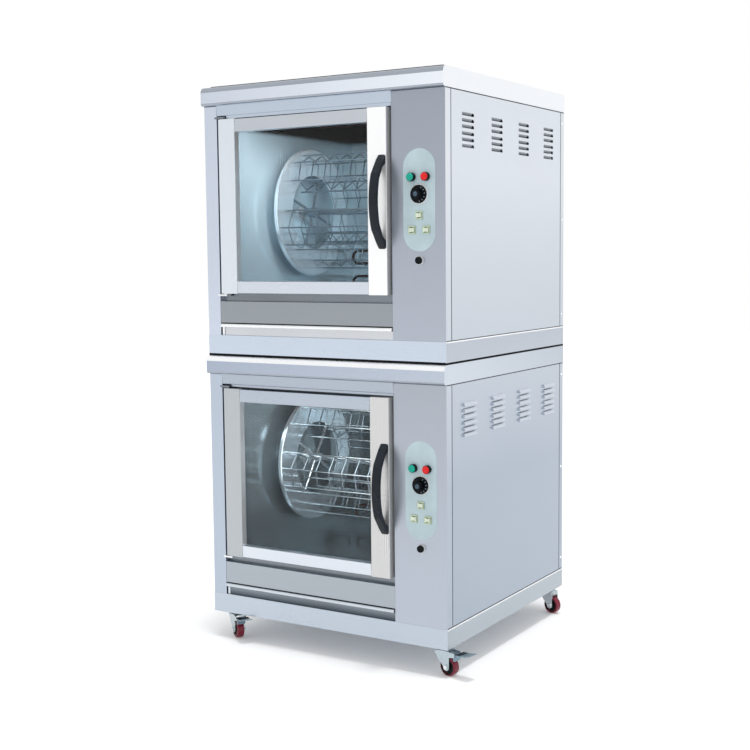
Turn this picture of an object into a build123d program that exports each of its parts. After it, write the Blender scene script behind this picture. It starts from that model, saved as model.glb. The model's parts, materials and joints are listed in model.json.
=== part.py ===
from build123d import *
import os
from math import atan2, cos, radians, sin

os.makedirs("parts", exist_ok=True)

# Driving dimensions, in millimetres
CABINET_WIDTH = 760
CABINET_DEPTH = 740
DECK_HEIGHT = 740
CASTER_HEIGHT = 76
BASE_HEIGHT = 54
COVER_HEIGHT = 51
STACK_GAP = 4
SHEET = 1.2
PANEL_INSET = 1

# Casters stand in from the corners, and the front right brake pedal reaches out past the side
CASTER_LEFT_X = 46
CASTER_RIGHT_X = 724
CASTER_INSET_Y = 38
FRONT_LEFT_ANGLE = -34
FRONT_RIGHT_ANGLE = -12
REAR_LEFT_ANGLE = 100
REAR_RIGHT_ANGLE = -15
PEDAL_REACH = 100
PEDAL_HALF_WIDTH = 17
HANDLE_REACH = 62
GLAND_REACH = 13

# The cabinet's front left corner, placed so that the origin is under the middle of the whole object
PEDAL_TURN = radians(FRONT_RIGHT_ANGLE)
PEDAL_TIP_X = CASTER_RIGHT_X + PEDAL_REACH * cos(PEDAL_TURN) - PEDAL_HALF_WIDTH * sin(PEDAL_TURN)
CABINET_X = -PEDAL_TIP_X / 2
CABINET_Y = -(CABINET_DEPTH + GLAND_REACH - HANDLE_REACH) / 2

# Heights in a deck, measured from the bottom of its base
COVER_TOP = DECK_HEIGHT - STACK_GAP
COVER_BOTTOM = COVER_TOP - COVER_HEIGHT
COVER_NOSE = 12
COVER_SHOULDER = 15
COVER_TUCK = 7

# The front, measured from the cabinet's left side and from the deck's base
OPENING_LEFT = 45
OPENING_RIGHT = 604
OPENING_BOTTOM = 149
OPENING_TOP = 656
KICK_BOTTOM = 88
JAMB_DEPTH = 17
MOUTH_LEFT = 75
MOUTH_RIGHT = 585
MOUTH_BOTTOM = 178
MOUTH_TOP = 640
CORNER_RETURN = 29
REAR_RETURN = 23
SEAM = 0.8

# Door
DOOR_LEFT = 58
DOOR_RIGHT = 597
DOOR_BOTTOM = 170
DOOR_TOP = 646
DOOR_THICKNESS = 28
DOOR_FRONT = -DOOR_THICKNESS / 2
WINDOW_LEFT = 115.5
WINDOW_RIGHT = 540
WINDOW_BOTTOM = 204
WINDOW_TOP = 610
REBATE = 10
GLASS_FRONT = 5
GLASS_THICKNESS = 5
GLASS_PLAY = 0.5
HINGE_X = 66
HINGE_PIN_RADIUS = 4
RUNNING_CLEARANCE = 0.05

# Door handle, a bow that stands on the right-hand stile
HANDLE_X = 584
HANDLE_WIDTH = 20
HANDLE_BOTTOM = 288
HANDLE_TOP = 526
HANDLE_FOOT = 24
HANDLE_DEPTH = 11
HANDLE_HEEL = 12
HANDLE_INSTEP = 17

# Oven cavity
CAVITY_LEFT = 70
CAVITY_RIGHT = 590
CAVITY_BACK = 656
CAVITY_CEILING = 681
FLOOR_FRONT = 92
FLOOR_BACK = 132
LINER_FRONT = JAMB_DEPTH + SHEET

# Tubular heating elements: pairs of runs under the ceiling (depths) and up the back (heights)
ELEMENT_RADIUS = 4
ELEMENT_HOLE_RADIUS = 4.4
CEILING_ELEMENT_Z = 662
CEILING_ELEMENTS = [(90, 140), (250, 300), (410, 460)]
REAR_ELEMENT_Y = 632
REAR_ELEMENTS = [(165, 205), (245, 285)]
ELEMENT_LEFT_X = 105
ELEMENT_RIGHT_X = 606

# Rotor
AXIS_Y = 372
AXIS_Z = 400
WHEEL_RADIUS = 188
WHEEL_HOLE_RADIUS = 109
WHEEL_SHEET = 2
WHEEL_FLANGE = 10
WHEEL_LEFT_X = 110
WHEEL_RIGHT_X = 550
SPOKE_RADIUS = 4
SHAFT_RADIUS = 8
SHAFT_LEFT_X = 64
SHAFT_RIGHT_X = 636
LOWER_SPOKE_ANGLE = 57
UPPER_SPOKE_ANGLE = 70
BASKETS = 4
CAGE_CORNERS = [(27, 170), (62, 128), (34, 80), (-34, 80), (-62, 128), (-27, 170)]
CAGE_WIRE_RADIUS = 2
CAGE_RING_WIRE = 3
CAGE_RINGS = 10
CAGE_RING_PITCH = 44
CAGE_PEG = 6

# Control panel
PANEL_X = 684
OVAL_WIDTH = 92
OVAL_BOTTOM = 281
OVAL_TOP = 538
OVAL_THICKNESS = 0.5
LAMP_Z = 467
LAMP_SPACING = 41
LAMP_HOLE_RADIUS = 8.3
KNOB_Z = 424
SPINDLE_RADIUS = 3
SPINDLE_HOLE_RADIUS = 5.5
ROCKER_UPPER_Z = 371.5
ROCKER_LOWER_Z = 335
ROCKER_SPACING = 41
ROCKER_TILT = 7
ROCKER_CUTOUT = 19
ROCKER_BODY = 18.6
ROCKER_BEZEL = 21
ROCKER_BEZEL_PROUD = 2.5
ROCKER_POCKET_LENGTH = 16.8
ROCKER_POCKET_HEIGHT = 13.8
ROCKER_HEIGHT = 13
ROCKER_PIVOT_Y = 3
ROCKER_PIN_RADIUS = 1.5
ROCKER_PIN_REACH = 8.5
RESET_Z = 258.5
RESET_HOLE_RADIUS = 8.2
RESET_CAP_RADIUS = 9.5
RESET_TRAVEL = 3

# Grease tray
TRAY_LEFT = 48
TRAY_RIGHT = 602
TRAY_TOP = 82
TRAY_DEPTH = 600
TRAY_FLOOR_GAP = 0.3
TRAY_LIP_RADIUS = 5

# Side louvres: four columns of six, pressed outward in the lower deck and inward in the upper
LOUVRE_COLUMNS = [89, 257, 425, 593]
LOUVRE_ROWS = [543, 558.5, 574, 591.5, 607, 622.5]
LOUVRE_WIDTH = 72
LOUVRE_HEIGHT = 10
LOUVRE_REACH = 6.5
SLOT_HEIGHT = 8.5
SLOT_SLANT = 9
SLOT_CORNER = 3
TONGUE_INSET = 4

# Casters
WHEEL_DIAMETER = 50
CASTER_TREAD = 21
CASTER_TRAIL = 24
KINGPIN_RADIUS = 5
AXLE_RADIUS = 4
PEDAL_PIVOT = (46, 60)
KINGPIN_BOTTOM = 57
CROWN_BOTTOM = 63
CROWN_TOP = 67.5
CUP_BOTTOM = 68.5
LEG_FRONT = -14
LEG_BACK = 32
PEDAL_PIN_RADIUS = 2
CASTERS = {
    "front_left": (CASTER_LEFT_X, CASTER_INSET_Y, FRONT_LEFT_ANGLE),
    "front_right": (CASTER_RIGHT_X, CASTER_INSET_Y, FRONT_RIGHT_ANGLE),
    "rear_left": (CASTER_LEFT_X, CABINET_DEPTH - CASTER_INSET_Y, REAR_LEFT_ANGLE),
    "rear_right": (CASTER_RIGHT_X, CABINET_DEPTH - CASTER_INSET_Y, REAR_RIGHT_ANGLE),
}
BRAKED_CASTERS = ["front_left", "front_right"]

GLAND_X = 690
GLAND_Z = 100
GLAND_BORE = 5
LAMP_Y = 150
OVEN_LAMP_Z = 600
SCREW_RADIUS = 4
SCREW_HEIGHT = 2
SCREW_HEIGHTS = [90, 370, 650]

DECKS = {"lower": CASTER_HEIGHT, "upper": CASTER_HEIGHT + DECK_HEIGHT}
SPOKE_ANGLES = {"lower": LOWER_SPOKE_ANGLE, "upper": UPPER_SPOKE_ANGLE}


def level(floor, height):
    """A horizontal plane at a height in a deck, its origin over the cabinet's front left corner."""
    return Plane(origin=(CABINET_X, CABINET_Y, floor + height))


def facing(floor, depth):
    """An upright plane that faces the front, at a depth behind the cabinet's front."""
    return Plane(origin=(CABINET_X, CABINET_Y + depth, floor), x_dir=(1, 0, 0), z_dir=(0, -1, 0))


def sideways(floor, x):
    """An upright plane that faces right, at a distance from the cabinet's left side."""
    return Plane(origin=(CABINET_X + x, CABINET_Y, floor), x_dir=(0, 1, 0), z_dir=(1, 0, 0))


def span(low_a, high_a, low_b, high_b, mode=Mode.ADD):
    """A rectangle between two opposite corners of the open sketch."""
    with Locations(((low_a + high_a) / 2, (low_b + high_b) / 2)):
        Rectangle(high_a - low_a, high_b - low_b, mode=mode)


def save(sub_part, label):
    """Name a finished piece and write it to a file of its own."""
    sub_part.part.label = label
    export_step(sub_part.part, f"parts/{label}.step")


def floor_height(depth):
    """Height of the sloping cavity floor, which drains to the front."""
    return FLOOR_FRONT + (FLOOR_BACK - FLOOR_FRONT) * (depth - LINER_FRONT) / (CAVITY_BACK - LINER_FRONT)


def make_base_box(floor):
    """The closed base of a deck: folded skirts with a floor and a top sheet."""
    vent_radius = 15
    with BuildPart() as base_box:
        with BuildSketch(level(floor, 0)):
            span(0, CABINET_WIDTH, 0, CABINET_DEPTH)
        extrude(amount=BASE_HEIGHT)
        fillet(base_box.edges().filter_by(Axis.Z), 2)
        with BuildSketch(level(floor, SHEET)):
            span(SHEET, CABINET_WIDTH - SHEET, SHEET, CABINET_DEPTH - SHEET)
        extrude(amount=BASE_HEIGHT - 2 * SHEET, mode=Mode.SUBTRACT)
        with BuildSketch(level(floor, 0)):
            with Locations((CABINET_WIDTH / 2, CABINET_DEPTH / 2)):
                Circle(vent_radius)
        extrude(amount=SHEET, mode=Mode.SUBTRACT)
    return base_box


def make_top_cover(floor):
    """The boxed cover of a deck, with a bullnose front and a raised field that the next deck sits on."""
    wire_hole_radius = 15
    field_inset = 15
    with BuildPart() as top_cover:
        for inset, mode in ((0, Mode.ADD), (SHEET, Mode.SUBTRACT)):
            with BuildSketch(sideways(floor, inset)) as outline:
                span(-COVER_NOSE + inset, CABINET_DEPTH - inset, COVER_BOTTOM + inset, COVER_TOP - inset)
                nose = outline.vertices().group_by(Axis.X)[0].sort_by(Axis.Y)
                fillet(nose[-1], COVER_SHOULDER - inset)
                nose = outline.vertices().group_by(Axis.X)[0].sort_by(Axis.Y)
                fillet(nose[0], COVER_TUCK - inset)
            extrude(amount=CABINET_WIDTH - 2 * inset, mode=mode)
        with BuildSketch(level(floor, COVER_TOP)):
            span(field_inset, CABINET_WIDTH - field_inset, field_inset, CABINET_DEPTH - field_inset)
        extrude(amount=STACK_GAP)
        with BuildSketch(level(floor, COVER_TOP - SHEET)):
            inside = field_inset + SHEET
            span(inside, CABINET_WIDTH - inside, inside, CABINET_DEPTH - inside)
        extrude(amount=STACK_GAP, mode=Mode.SUBTRACT)
        with BuildSketch(level(floor, COVER_BOTTOM)):
            with Locations((PANEL_X, CABINET_DEPTH / 2)):
                Circle(wire_hole_radius)
        extrude(amount=SHEET, mode=Mode.SUBTRACT)
    return top_cover


def side_sheet():
    """Outline of a side sheet, from the front corner's return to the rear corner's."""
    rear = CABINET_DEPTH - PANEL_INSET - REAR_RETURN - SEAM
    span(CORNER_RETURN + SEAM, rear, BASE_HEIGHT, COVER_BOTTOM)


def make_left_side_panels():
    """Plain side sheets of both decks, between the front and rear corner returns."""
    with BuildPart() as left_side_panels:
        for floor in DECKS.values():
            with BuildSketch(sideways(floor, PANEL_INSET)):
                side_sheet()
            extrude(amount=SHEET)
    return left_side_panels


def louvre_section(wall_x, low_z, shell):
    """Section of one hood: it bulges out from the sheet and is open along its lower edge."""
    back = wall_x - SHEET
    reach = wall_x + LOUVRE_REACH - shell
    top = low_z + LOUVRE_HEIGHT - shell
    low = low_z - shell
    middle = (wall_x + 0.75 * (reach - wall_x), low + 0.58 * (top - low))
    with BuildSketch(mode=Mode.PRIVATE) as section:
        with BuildLine():
            ThreePointArc((wall_x, top), middle, (reach, low))
            Polyline((reach, low), (back, low), (back, top), (wall_x, top))
        make_face()
    return section.sketch


def make_louvred_side_panel(floor):
    """Side sheet over the control compartment, with pressed hoods that open downward."""
    outer = CABINET_WIDTH - PANEL_INSET
    with BuildPart() as side_panel:
        with BuildSketch(sideways(floor, outer - SHEET)):
            side_sheet()
        extrude(amount=SHEET)
        for shell, mode in ((0, Mode.ADD), (SHEET, Mode.SUBTRACT)):
            for column in LOUVRE_COLUMNS:
                with BuildSketch(facing(floor, column + LOUVRE_WIDTH - shell)):
                    for row in LOUVRE_ROWS:
                        add(louvre_section(outer, row, shell))
                extrude(amount=LOUVRE_WIDTH - 2 * shell, mode=mode)
    return side_panel


def slot_outline():
    """One vent slot: rounded at its front end and slanted at its rear end."""
    with BuildSketch(mode=Mode.PRIVATE) as outline:
        with BuildLine():
            Polyline((0, 0), (LOUVRE_WIDTH, 0), (LOUVRE_WIDTH - SLOT_SLANT, SLOT_HEIGHT), (0, SLOT_HEIGHT),
                     close=True)
        make_face()
        fillet(outline.vertices(), SLOT_CORNER)
    return outline.sketch


def tongue_section(wall_x, low_z):
    """Section of the tongue that is pressed inward behind a slot, from its upper edge."""
    with BuildSketch(mode=Mode.PRIVATE) as section:
        with BuildLine():
            Polyline((wall_x - SHEET, low_z + SLOT_HEIGHT + SHEET), (wall_x, low_z + SLOT_HEIGHT),
                     (wall_x - LOUVRE_REACH, low_z + 1), (wall_x - LOUVRE_REACH - SHEET, low_z + 1), close=True)
        make_face()
    return section.sketch


def make_slotted_side_panel(floor):
    """Side sheet over the control compartment, with vent slots and a sloping tongue behind each."""
    outer = CABINET_WIDTH - PANEL_INSET
    with BuildPart() as side_panel:
        with BuildSketch(sideways(floor, outer - SHEET)):
            side_sheet()
            with Locations(*[(column, row) for column in LOUVRE_COLUMNS for row in LOUVRE_ROWS]):
                add(slot_outline(), mode=Mode.SUBTRACT)
        extrude(amount=SHEET)
        for column in LOUVRE_COLUMNS:
            with BuildSketch(facing(floor, column + LOUVRE_WIDTH - SLOT_SLANT - TONGUE_INSET)):
                for row in LOUVRE_ROWS:
                    add(tongue_section(outer, row))
            extrude(amount=LOUVRE_WIDTH - SLOT_SLANT - 2 * TONGUE_INSET)
    return side_panel


def make_rear_panels():
    """Rear sheets that wrap round the rear corners, with vent slots and the hole for the cable gland."""
    back = CABINET_DEPTH - PANEL_INSET
    left = PANEL_INSET
    right = CABINET_WIDTH - PANEL_INSET
    slot_length = 60
    slot_height = 4
    slot_pitch = 14
    slots_x = 648
    slots_z = 560
    gland_hole_radius = 8.3
    with BuildPart() as rear_panels:
        for floor in DECKS.values():
            with BuildSketch(level(floor, BASE_HEIGHT)):
                span(left, right, back - SHEET, back)
                span(left, left + SHEET, back - REAR_RETURN, back)
                span(right - SHEET, right, back - REAR_RETURN, back)
            extrude(amount=COVER_BOTTOM - BASE_HEIGHT)
            with BuildSketch(facing(floor, back)):
                with Locations((slots_x, slots_z)):
                    with GridLocations(slot_length + 20, slot_pitch, 2, 6):
                        SlotOverall(slot_length, slot_height)
                with Locations((GLAND_X, GLAND_Z)):
                    Circle(gland_hole_radius)
            extrude(amount=SHEET, mode=Mode.SUBTRACT)
    return rear_panels


def make_front_frame(floor):
    """Left corner post, lintel and kick panel, with the reveal and the jamb plate that the door shuts against."""
    left = PANEL_INSET
    with BuildPart() as front_frame:
        with BuildSketch(facing(floor, 0)):
            span(left, OPENING_LEFT, BASE_HEIGHT, COVER_BOTTOM)
            span(left, OPENING_RIGHT, OPENING_TOP, COVER_BOTTOM)
            span(left, OPENING_RIGHT, KICK_BOTTOM, OPENING_BOTTOM)
        extrude(amount=-SHEET)
        with BuildSketch(sideways(floor, left)):
            span(0, CORNER_RETURN, BASE_HEIGHT, COVER_BOTTOM)
        extrude(amount=SHEET)
        with BuildSketch(facing(floor, SHEET)):
            span(OPENING_LEFT - SHEET, OPENING_RIGHT + SHEET, OPENING_BOTTOM - SHEET, OPENING_TOP + SHEET)
            span(OPENING_LEFT, OPENING_RIGHT, OPENING_BOTTOM, OPENING_TOP, mode=Mode.SUBTRACT)
        extrude(amount=-(JAMB_DEPTH - SHEET))
        with BuildSketch(facing(floor, JAMB_DEPTH)):
            span(OPENING_LEFT - SHEET, OPENING_RIGHT + SHEET, FLOOR_FRONT + SHEET, COVER_BOTTOM)
            span(MOUTH_LEFT, MOUTH_RIGHT, MOUTH_BOTTOM, MOUTH_TOP, mode=Mode.SUBTRACT)
        extrude(amount=-SHEET)
        corner = front_frame.edges().filter_by(Axis.Z).group_by(Axis.X)[0].sort_by(Axis.Y)[0]
        fillet(corner, SHEET / 2)
    return front_frame


def make_control_fascia(floor):
    """Right-hand front panel with its corner return, pierced for the lamps, knob, switches and reset button."""
    right = CABINET_WIDTH - PANEL_INSET
    with BuildPart() as control_fascia:
        with BuildSketch(facing(floor, 0)):
            span(OPENING_RIGHT, right, BASE_HEIGHT, COVER_BOTTOM)
        extrude(amount=-SHEET)
        with BuildSketch(sideways(floor, right - SHEET)):
            span(0, CORNER_RETURN, BASE_HEIGHT, COVER_BOTTOM)
        extrude(amount=SHEET)
        with BuildSketch(facing(floor, 0)):
            panel_cutouts()
            with Locations((PANEL_X, RESET_Z)):
                Circle(RESET_HOLE_RADIUS)
        extrude(amount=-SHEET, mode=Mode.SUBTRACT)
        corner = control_fascia.edges().filter_by(Axis.Z).group_by(Axis.X)[-1].sort_by(Axis.Y)[0]
        fillet(corner, SHEET / 2)
    return control_fascia


def lamp_places():
    """Centres of the two pilot lamps on the panel."""
    return [(PANEL_X - LAMP_SPACING / 2, LAMP_Z), (PANEL_X + LAMP_SPACING / 2, LAMP_Z)]


def rocker_places():
    """Centres of the three rocker switches: one above, two below."""
    half = ROCKER_SPACING / 2
    return {
        "lamp": (PANEL_X, ROCKER_UPPER_Z),
        "rotation": (PANEL_X - half, ROCKER_LOWER_Z),
        "heating": (PANEL_X + half, ROCKER_LOWER_Z),
    }


def panel_cutouts():
    """The holes that both the fascia and the oval plate have."""
    with Locations(*lamp_places()):
        Circle(LAMP_HOLE_RADIUS)
    with Locations((PANEL_X, KNOB_Z)):
        Circle(SPINDLE_HOLE_RADIUS)
    with Locations(*rocker_places().values()):
        Rectangle(ROCKER_CUTOUT, ROCKER_CUTOUT)


def make_oven_liner(floor):
    """The cavity: back, sides, ceiling and a floor that slopes to a grease slot behind the jamb."""
    shaft_hole_radius = 10
    lamp_hole_radius = 24.5
    slot_length = 420
    slot_width = 14
    with BuildPart() as oven_liner:
        for wall, front in ((SHEET, LINER_FRONT), (0, LINER_FRONT - 1)):
            with BuildSketch(sideways(floor, CAVITY_LEFT - wall)):
                with BuildLine():
                    Polyline(
                        (front, floor_height(front) - wall),
                        (CAVITY_BACK + wall, floor_height(CAVITY_BACK + wall) - wall),
                        (CAVITY_BACK + wall, CAVITY_CEILING + wall),
                        (front, CAVITY_CEILING + wall),
                        close=True,
                    )
                make_face()
            extrude(amount=CAVITY_RIGHT - CAVITY_LEFT + 2 * wall, mode=Mode.ADD if wall else Mode.SUBTRACT)
        with BuildSketch(sideways(floor, CAVITY_LEFT - SHEET)):
            with Locations((AXIS_Y, AXIS_Z)):
                Circle(shaft_hole_radius)
        extrude(amount=CAVITY_RIGHT - CAVITY_LEFT + 2 * SHEET, mode=Mode.SUBTRACT)
        with BuildSketch(sideways(floor, CAVITY_RIGHT)):
            with Locations((LAMP_Y, OVEN_LAMP_Z)):
                Circle(lamp_hole_radius)
            with Locations(*element_ends()):
                Circle(ELEMENT_HOLE_RADIUS)
        extrude(amount=SHEET, mode=Mode.SUBTRACT)
        with BuildSketch(level(floor, FLOOR_FRONT - 2 * SHEET)):
            with Locations(((CAVITY_LEFT + CAVITY_RIGHT) / 2, LINER_FRONT + 30)):
                SlotOverall(slot_length, slot_width)
        extrude(amount=4 * SHEET + 3, mode=Mode.SUBTRACT)
    return oven_liner


def element_ends():
    """Where the tube ends leave the cavity's right wall."""
    ceiling = [(y, CEILING_ELEMENT_Z) for pair in CEILING_ELEMENTS for y in pair]
    rear = [(REAR_ELEMENT_Y, z) for pair in REAR_ELEMENTS for z in pair]
    return ceiling + rear


def hairpin(plane, low, high):
    """A tube that runs in along X, turns back in a half circle and runs out again."""
    bend = (high - low) / 2
    with BuildPart(mode=Mode.PRIVATE) as tube:
        with BuildLine(plane) as path:
            Line((ELEMENT_RIGHT_X, low), (ELEMENT_LEFT_X, low))
            ThreePointArc((ELEMENT_LEFT_X, low), (ELEMENT_LEFT_X - bend, low + bend), (ELEMENT_LEFT_X, high))
            Line((ELEMENT_LEFT_X, high), (ELEMENT_RIGHT_X, high))
        with BuildSketch(Plane(origin=path.line @ 0, z_dir=path.line % 0)):
            Circle(ELEMENT_RADIUS)
        sweep()
    return tube.part


def make_heating_elements():
    """Tubular elements of both decks: hairpins under the ceiling and up the back, each with two hangers."""
    hanger_x = [180, 470]
    hanger_width = 14
    hanger_sheet = 2
    margin = 7
    with BuildPart() as heating_elements:
        for floor in DECKS.values():
            for low, high in CEILING_ELEMENTS:
                add(hairpin(level(floor, CEILING_ELEMENT_Z), low, high))
                with BuildSketch(*[sideways(floor, x) for x in hanger_x]):
                    span(low - margin, high + margin, CEILING_ELEMENT_Z - margin, CAVITY_CEILING - hanger_sheet)
                extrude(amount=hanger_sheet)
                with BuildSketch(level(floor, CAVITY_CEILING - hanger_sheet)):
                    for x in hanger_x:
                        span(x, x + hanger_width, low - margin, high + margin)
                extrude(amount=hanger_sheet)
            for low, high in REAR_ELEMENTS:
                add(hairpin(facing(floor, REAR_ELEMENT_Y), low, high))
                with BuildSketch(*[sideways(floor, x) for x in hanger_x]):
                    span(REAR_ELEMENT_Y - margin, CAVITY_BACK - hanger_sheet, low - margin, high + margin)
                extrude(amount=hanger_sheet)
                with BuildSketch(facing(floor, CAVITY_BACK)):
                    for x in hanger_x:
                        span(x, x + hanger_width, low - margin, high + margin)
                extrude(amount=hanger_sheet)
    return heating_elements


def make_door_frame(floor):
    """Hollow door frame with a stepped window and a bored boss for each hinge pin."""
    boss_radius = 8
    boss_height = 14
    bolt_radius = 2.6
    pin_hole = HINGE_PIN_RADIUS + RUNNING_CLEARANCE
    rebate = (WINDOW_LEFT - REBATE, WINDOW_RIGHT + REBATE, WINDOW_BOTTOM - REBATE, WINDOW_TOP + REBATE)
    with BuildPart() as door_frame:
        with BuildSketch(facing(floor, DOOR_FRONT)):
            span(DOOR_LEFT, DOOR_RIGHT, DOOR_BOTTOM, DOOR_TOP)
        extrude(amount=-DOOR_THICKNESS)
        front_edges = door_frame.faces().sort_by(Axis.Y)[0].edges()
        fillet(front_edges, 2.5)
        with BuildSketch(facing(floor, DOOR_FRONT)):
            span(WINDOW_LEFT, WINDOW_RIGHT, WINDOW_BOTTOM, WINDOW_TOP)
        extrude(amount=-DOOR_THICKNESS, mode=Mode.SUBTRACT)
        with BuildSketch(facing(floor, GLASS_FRONT)):
            span(*rebate)
        extrude(amount=-DOOR_THICKNESS, mode=Mode.SUBTRACT)
        hollow_front = DOOR_FRONT + SHEET
        step = GLASS_FRONT - SHEET
        hollow_back = -DOOR_FRONT - SHEET
        inner = (DOOR_LEFT + SHEET, DOOR_RIGHT - SHEET, DOOR_BOTTOM + SHEET, DOOR_TOP - SHEET)
        with BuildSketch(facing(floor, hollow_front)):
            span(*inner)
            span(WINDOW_LEFT - SHEET, WINDOW_RIGHT + SHEET, WINDOW_BOTTOM - SHEET, WINDOW_TOP + SHEET,
                 mode=Mode.SUBTRACT)
        extrude(amount=-(step - hollow_front), mode=Mode.SUBTRACT)
        with BuildSketch(facing(floor, step)):
            span(*inner)
            span(rebate[0] - SHEET, rebate[1] + SHEET, rebate[2] - SHEET, rebate[3] + SHEET, mode=Mode.SUBTRACT)
        extrude(amount=-(hollow_back - step), mode=Mode.SUBTRACT)
        for base in (DOOR_BOTTOM, DOOR_TOP - boss_height):
            with BuildSketch(level(floor, base)):
                with Locations((HINGE_X, 0)):
                    Circle(boss_radius - SHEET)
            extrude(amount=boss_height)
            with BuildSketch(level(floor, base)):
                with Locations((HINGE_X, 0)):
                    Circle(pin_hole)
            extrude(amount=boss_height, mode=Mode.SUBTRACT)
        with BuildSketch(facing(floor, DOOR_FRONT)):
            with Locations((HANDLE_X, HANDLE_BOTTOM + HANDLE_FOOT / 2), (HANDLE_X, HANDLE_TOP - HANDLE_FOOT / 2)):
                Circle(bolt_radius)
        extrude(amount=-SHEET, mode=Mode.SUBTRACT)
    return door_frame


def make_door_glass(floor):
    """Toughened pane in the door's rebate."""
    inset = REBATE - GLASS_PLAY
    with BuildPart() as door_glass:
        with BuildSketch(facing(floor, GLASS_FRONT)):
            span(WINDOW_LEFT - inset, WINDOW_RIGHT + inset, WINDOW_BOTTOM - inset, WINDOW_TOP + inset)
        extrude(amount=-GLASS_THICKNESS)
        chamfer(door_glass.edges(), 0.5)
    return door_glass


def make_door_handle(floor):
    """A moulded bow of even thickness that springs from two short solid feet."""
    middle = (HANDLE_BOTTOM + HANDLE_TOP) / 2
    heel = DOOR_FRONT - HANDLE_HEEL
    heel_radius = 9
    instep = DOOR_FRONT - HANDLE_INSTEP
    instep_radius = 5
    palm = -HANDLE_REACH + HANDLE_DEPTH
    low_foot = HANDLE_BOTTOM + HANDLE_FOOT
    high_foot = HANDLE_TOP - HANDLE_FOOT
    slope = 3
    edge_radius = 3.5
    with BuildPart() as door_handle:
        with BuildSketch(sideways(floor, HANDLE_X - HANDLE_WIDTH / 2)) as section:
            with BuildLine():
                Line((DOOR_FRONT, HANDLE_BOTTOM), (heel, HANDLE_BOTTOM))
                ThreePointArc((heel, HANDLE_BOTTOM), (-HANDLE_REACH, middle), (heel, HANDLE_TOP))
                Polyline((heel, HANDLE_TOP), (DOOR_FRONT, HANDLE_TOP), (DOOR_FRONT, high_foot),
                         (instep, high_foot - slope))
                ThreePointArc((instep, high_foot - slope), (palm, middle), (instep, low_foot + slope))
                Polyline((instep, low_foot + slope), (DOOR_FRONT, low_foot), (DOOR_FRONT, HANDLE_BOTTOM))
            make_face()
            fillet([vertex for vertex in section.vertices() if abs(vertex.X - heel) < 0.01], heel_radius)
            fillet([vertex for vertex in section.vertices() if abs(vertex.X - instep) < 0.01], instep_radius)
        extrude(amount=HANDLE_WIDTH)
        side_edges = door_handle.faces().filter_by(Axis.X).edges()
        door_face = CABINET_Y + DOOR_FRONT
        fillet([edge for edge in side_edges if edge.center().Y < door_face - 1], edge_radius)
    return door_handle


def make_hinge_brackets():
    """Pivot brackets of both doors: a plate from the reveal, a washer and an upright pin."""
    plate = 5
    washer = 1.7
    washer_radius = 7
    pin_length = 12
    half_depth = 10
    tip = HINGE_X + 10
    with BuildPart() as hinge_brackets:
        for floor in DECKS.values():
            for edge, up in ((DOOR_BOTTOM, -1), (DOOR_TOP, 1)):
                washer_start = edge + up * (2 - washer)
                plate_start = edge + up * 2
                with BuildSketch(level(floor, plate_start)):
                    span(OPENING_LEFT, tip, -half_depth, half_depth)
                extrude(amount=up * plate)
                with BuildSketch(level(floor, plate_start)):
                    with Locations((HINGE_X, 0)):
                        Circle(washer_radius)
                extrude(amount=washer_start - plate_start)
                with BuildSketch(level(floor, plate_start)):
                    with Locations((HINGE_X, 0)):
                        Circle(HINGE_PIN_RADIUS)
                extrude(amount=-up * (pin_length + 2))
    return hinge_brackets


def make_grease_tray(floor):
    """Sliding pan under the cavity, with a rolled lip along its front to pull it by."""
    bottom = BASE_HEIGHT + TRAY_FLOOR_GAP
    pan_inset = 14
    face_depth = 4
    with BuildPart() as grease_tray:
        with BuildSketch(level(floor, bottom)):
            span(TRAY_LEFT + pan_inset, TRAY_RIGHT - pan_inset, face_depth, TRAY_DEPTH)
        extrude(amount=TRAY_TOP - bottom)
        with BuildSketch(level(floor, bottom + SHEET)):
            span(TRAY_LEFT + pan_inset + SHEET, TRAY_RIGHT - pan_inset - SHEET, face_depth + SHEET,
                 TRAY_DEPTH - SHEET)
        extrude(amount=TRAY_TOP, mode=Mode.SUBTRACT)
        with BuildSketch(facing(floor, face_depth)):
            span(TRAY_LEFT, TRAY_RIGHT, bottom, TRAY_TOP)
        extrude(amount=-SHEET)
        with BuildSketch(sideways(floor, TRAY_LEFT)):
            with Locations((face_depth + SHEET - TRAY_LIP_RADIUS, TRAY_TOP - 1)):
                Circle(TRAY_LIP_RADIUS)
        extrude(amount=TRAY_RIGHT - TRAY_LEFT)
    return grease_tray


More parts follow.
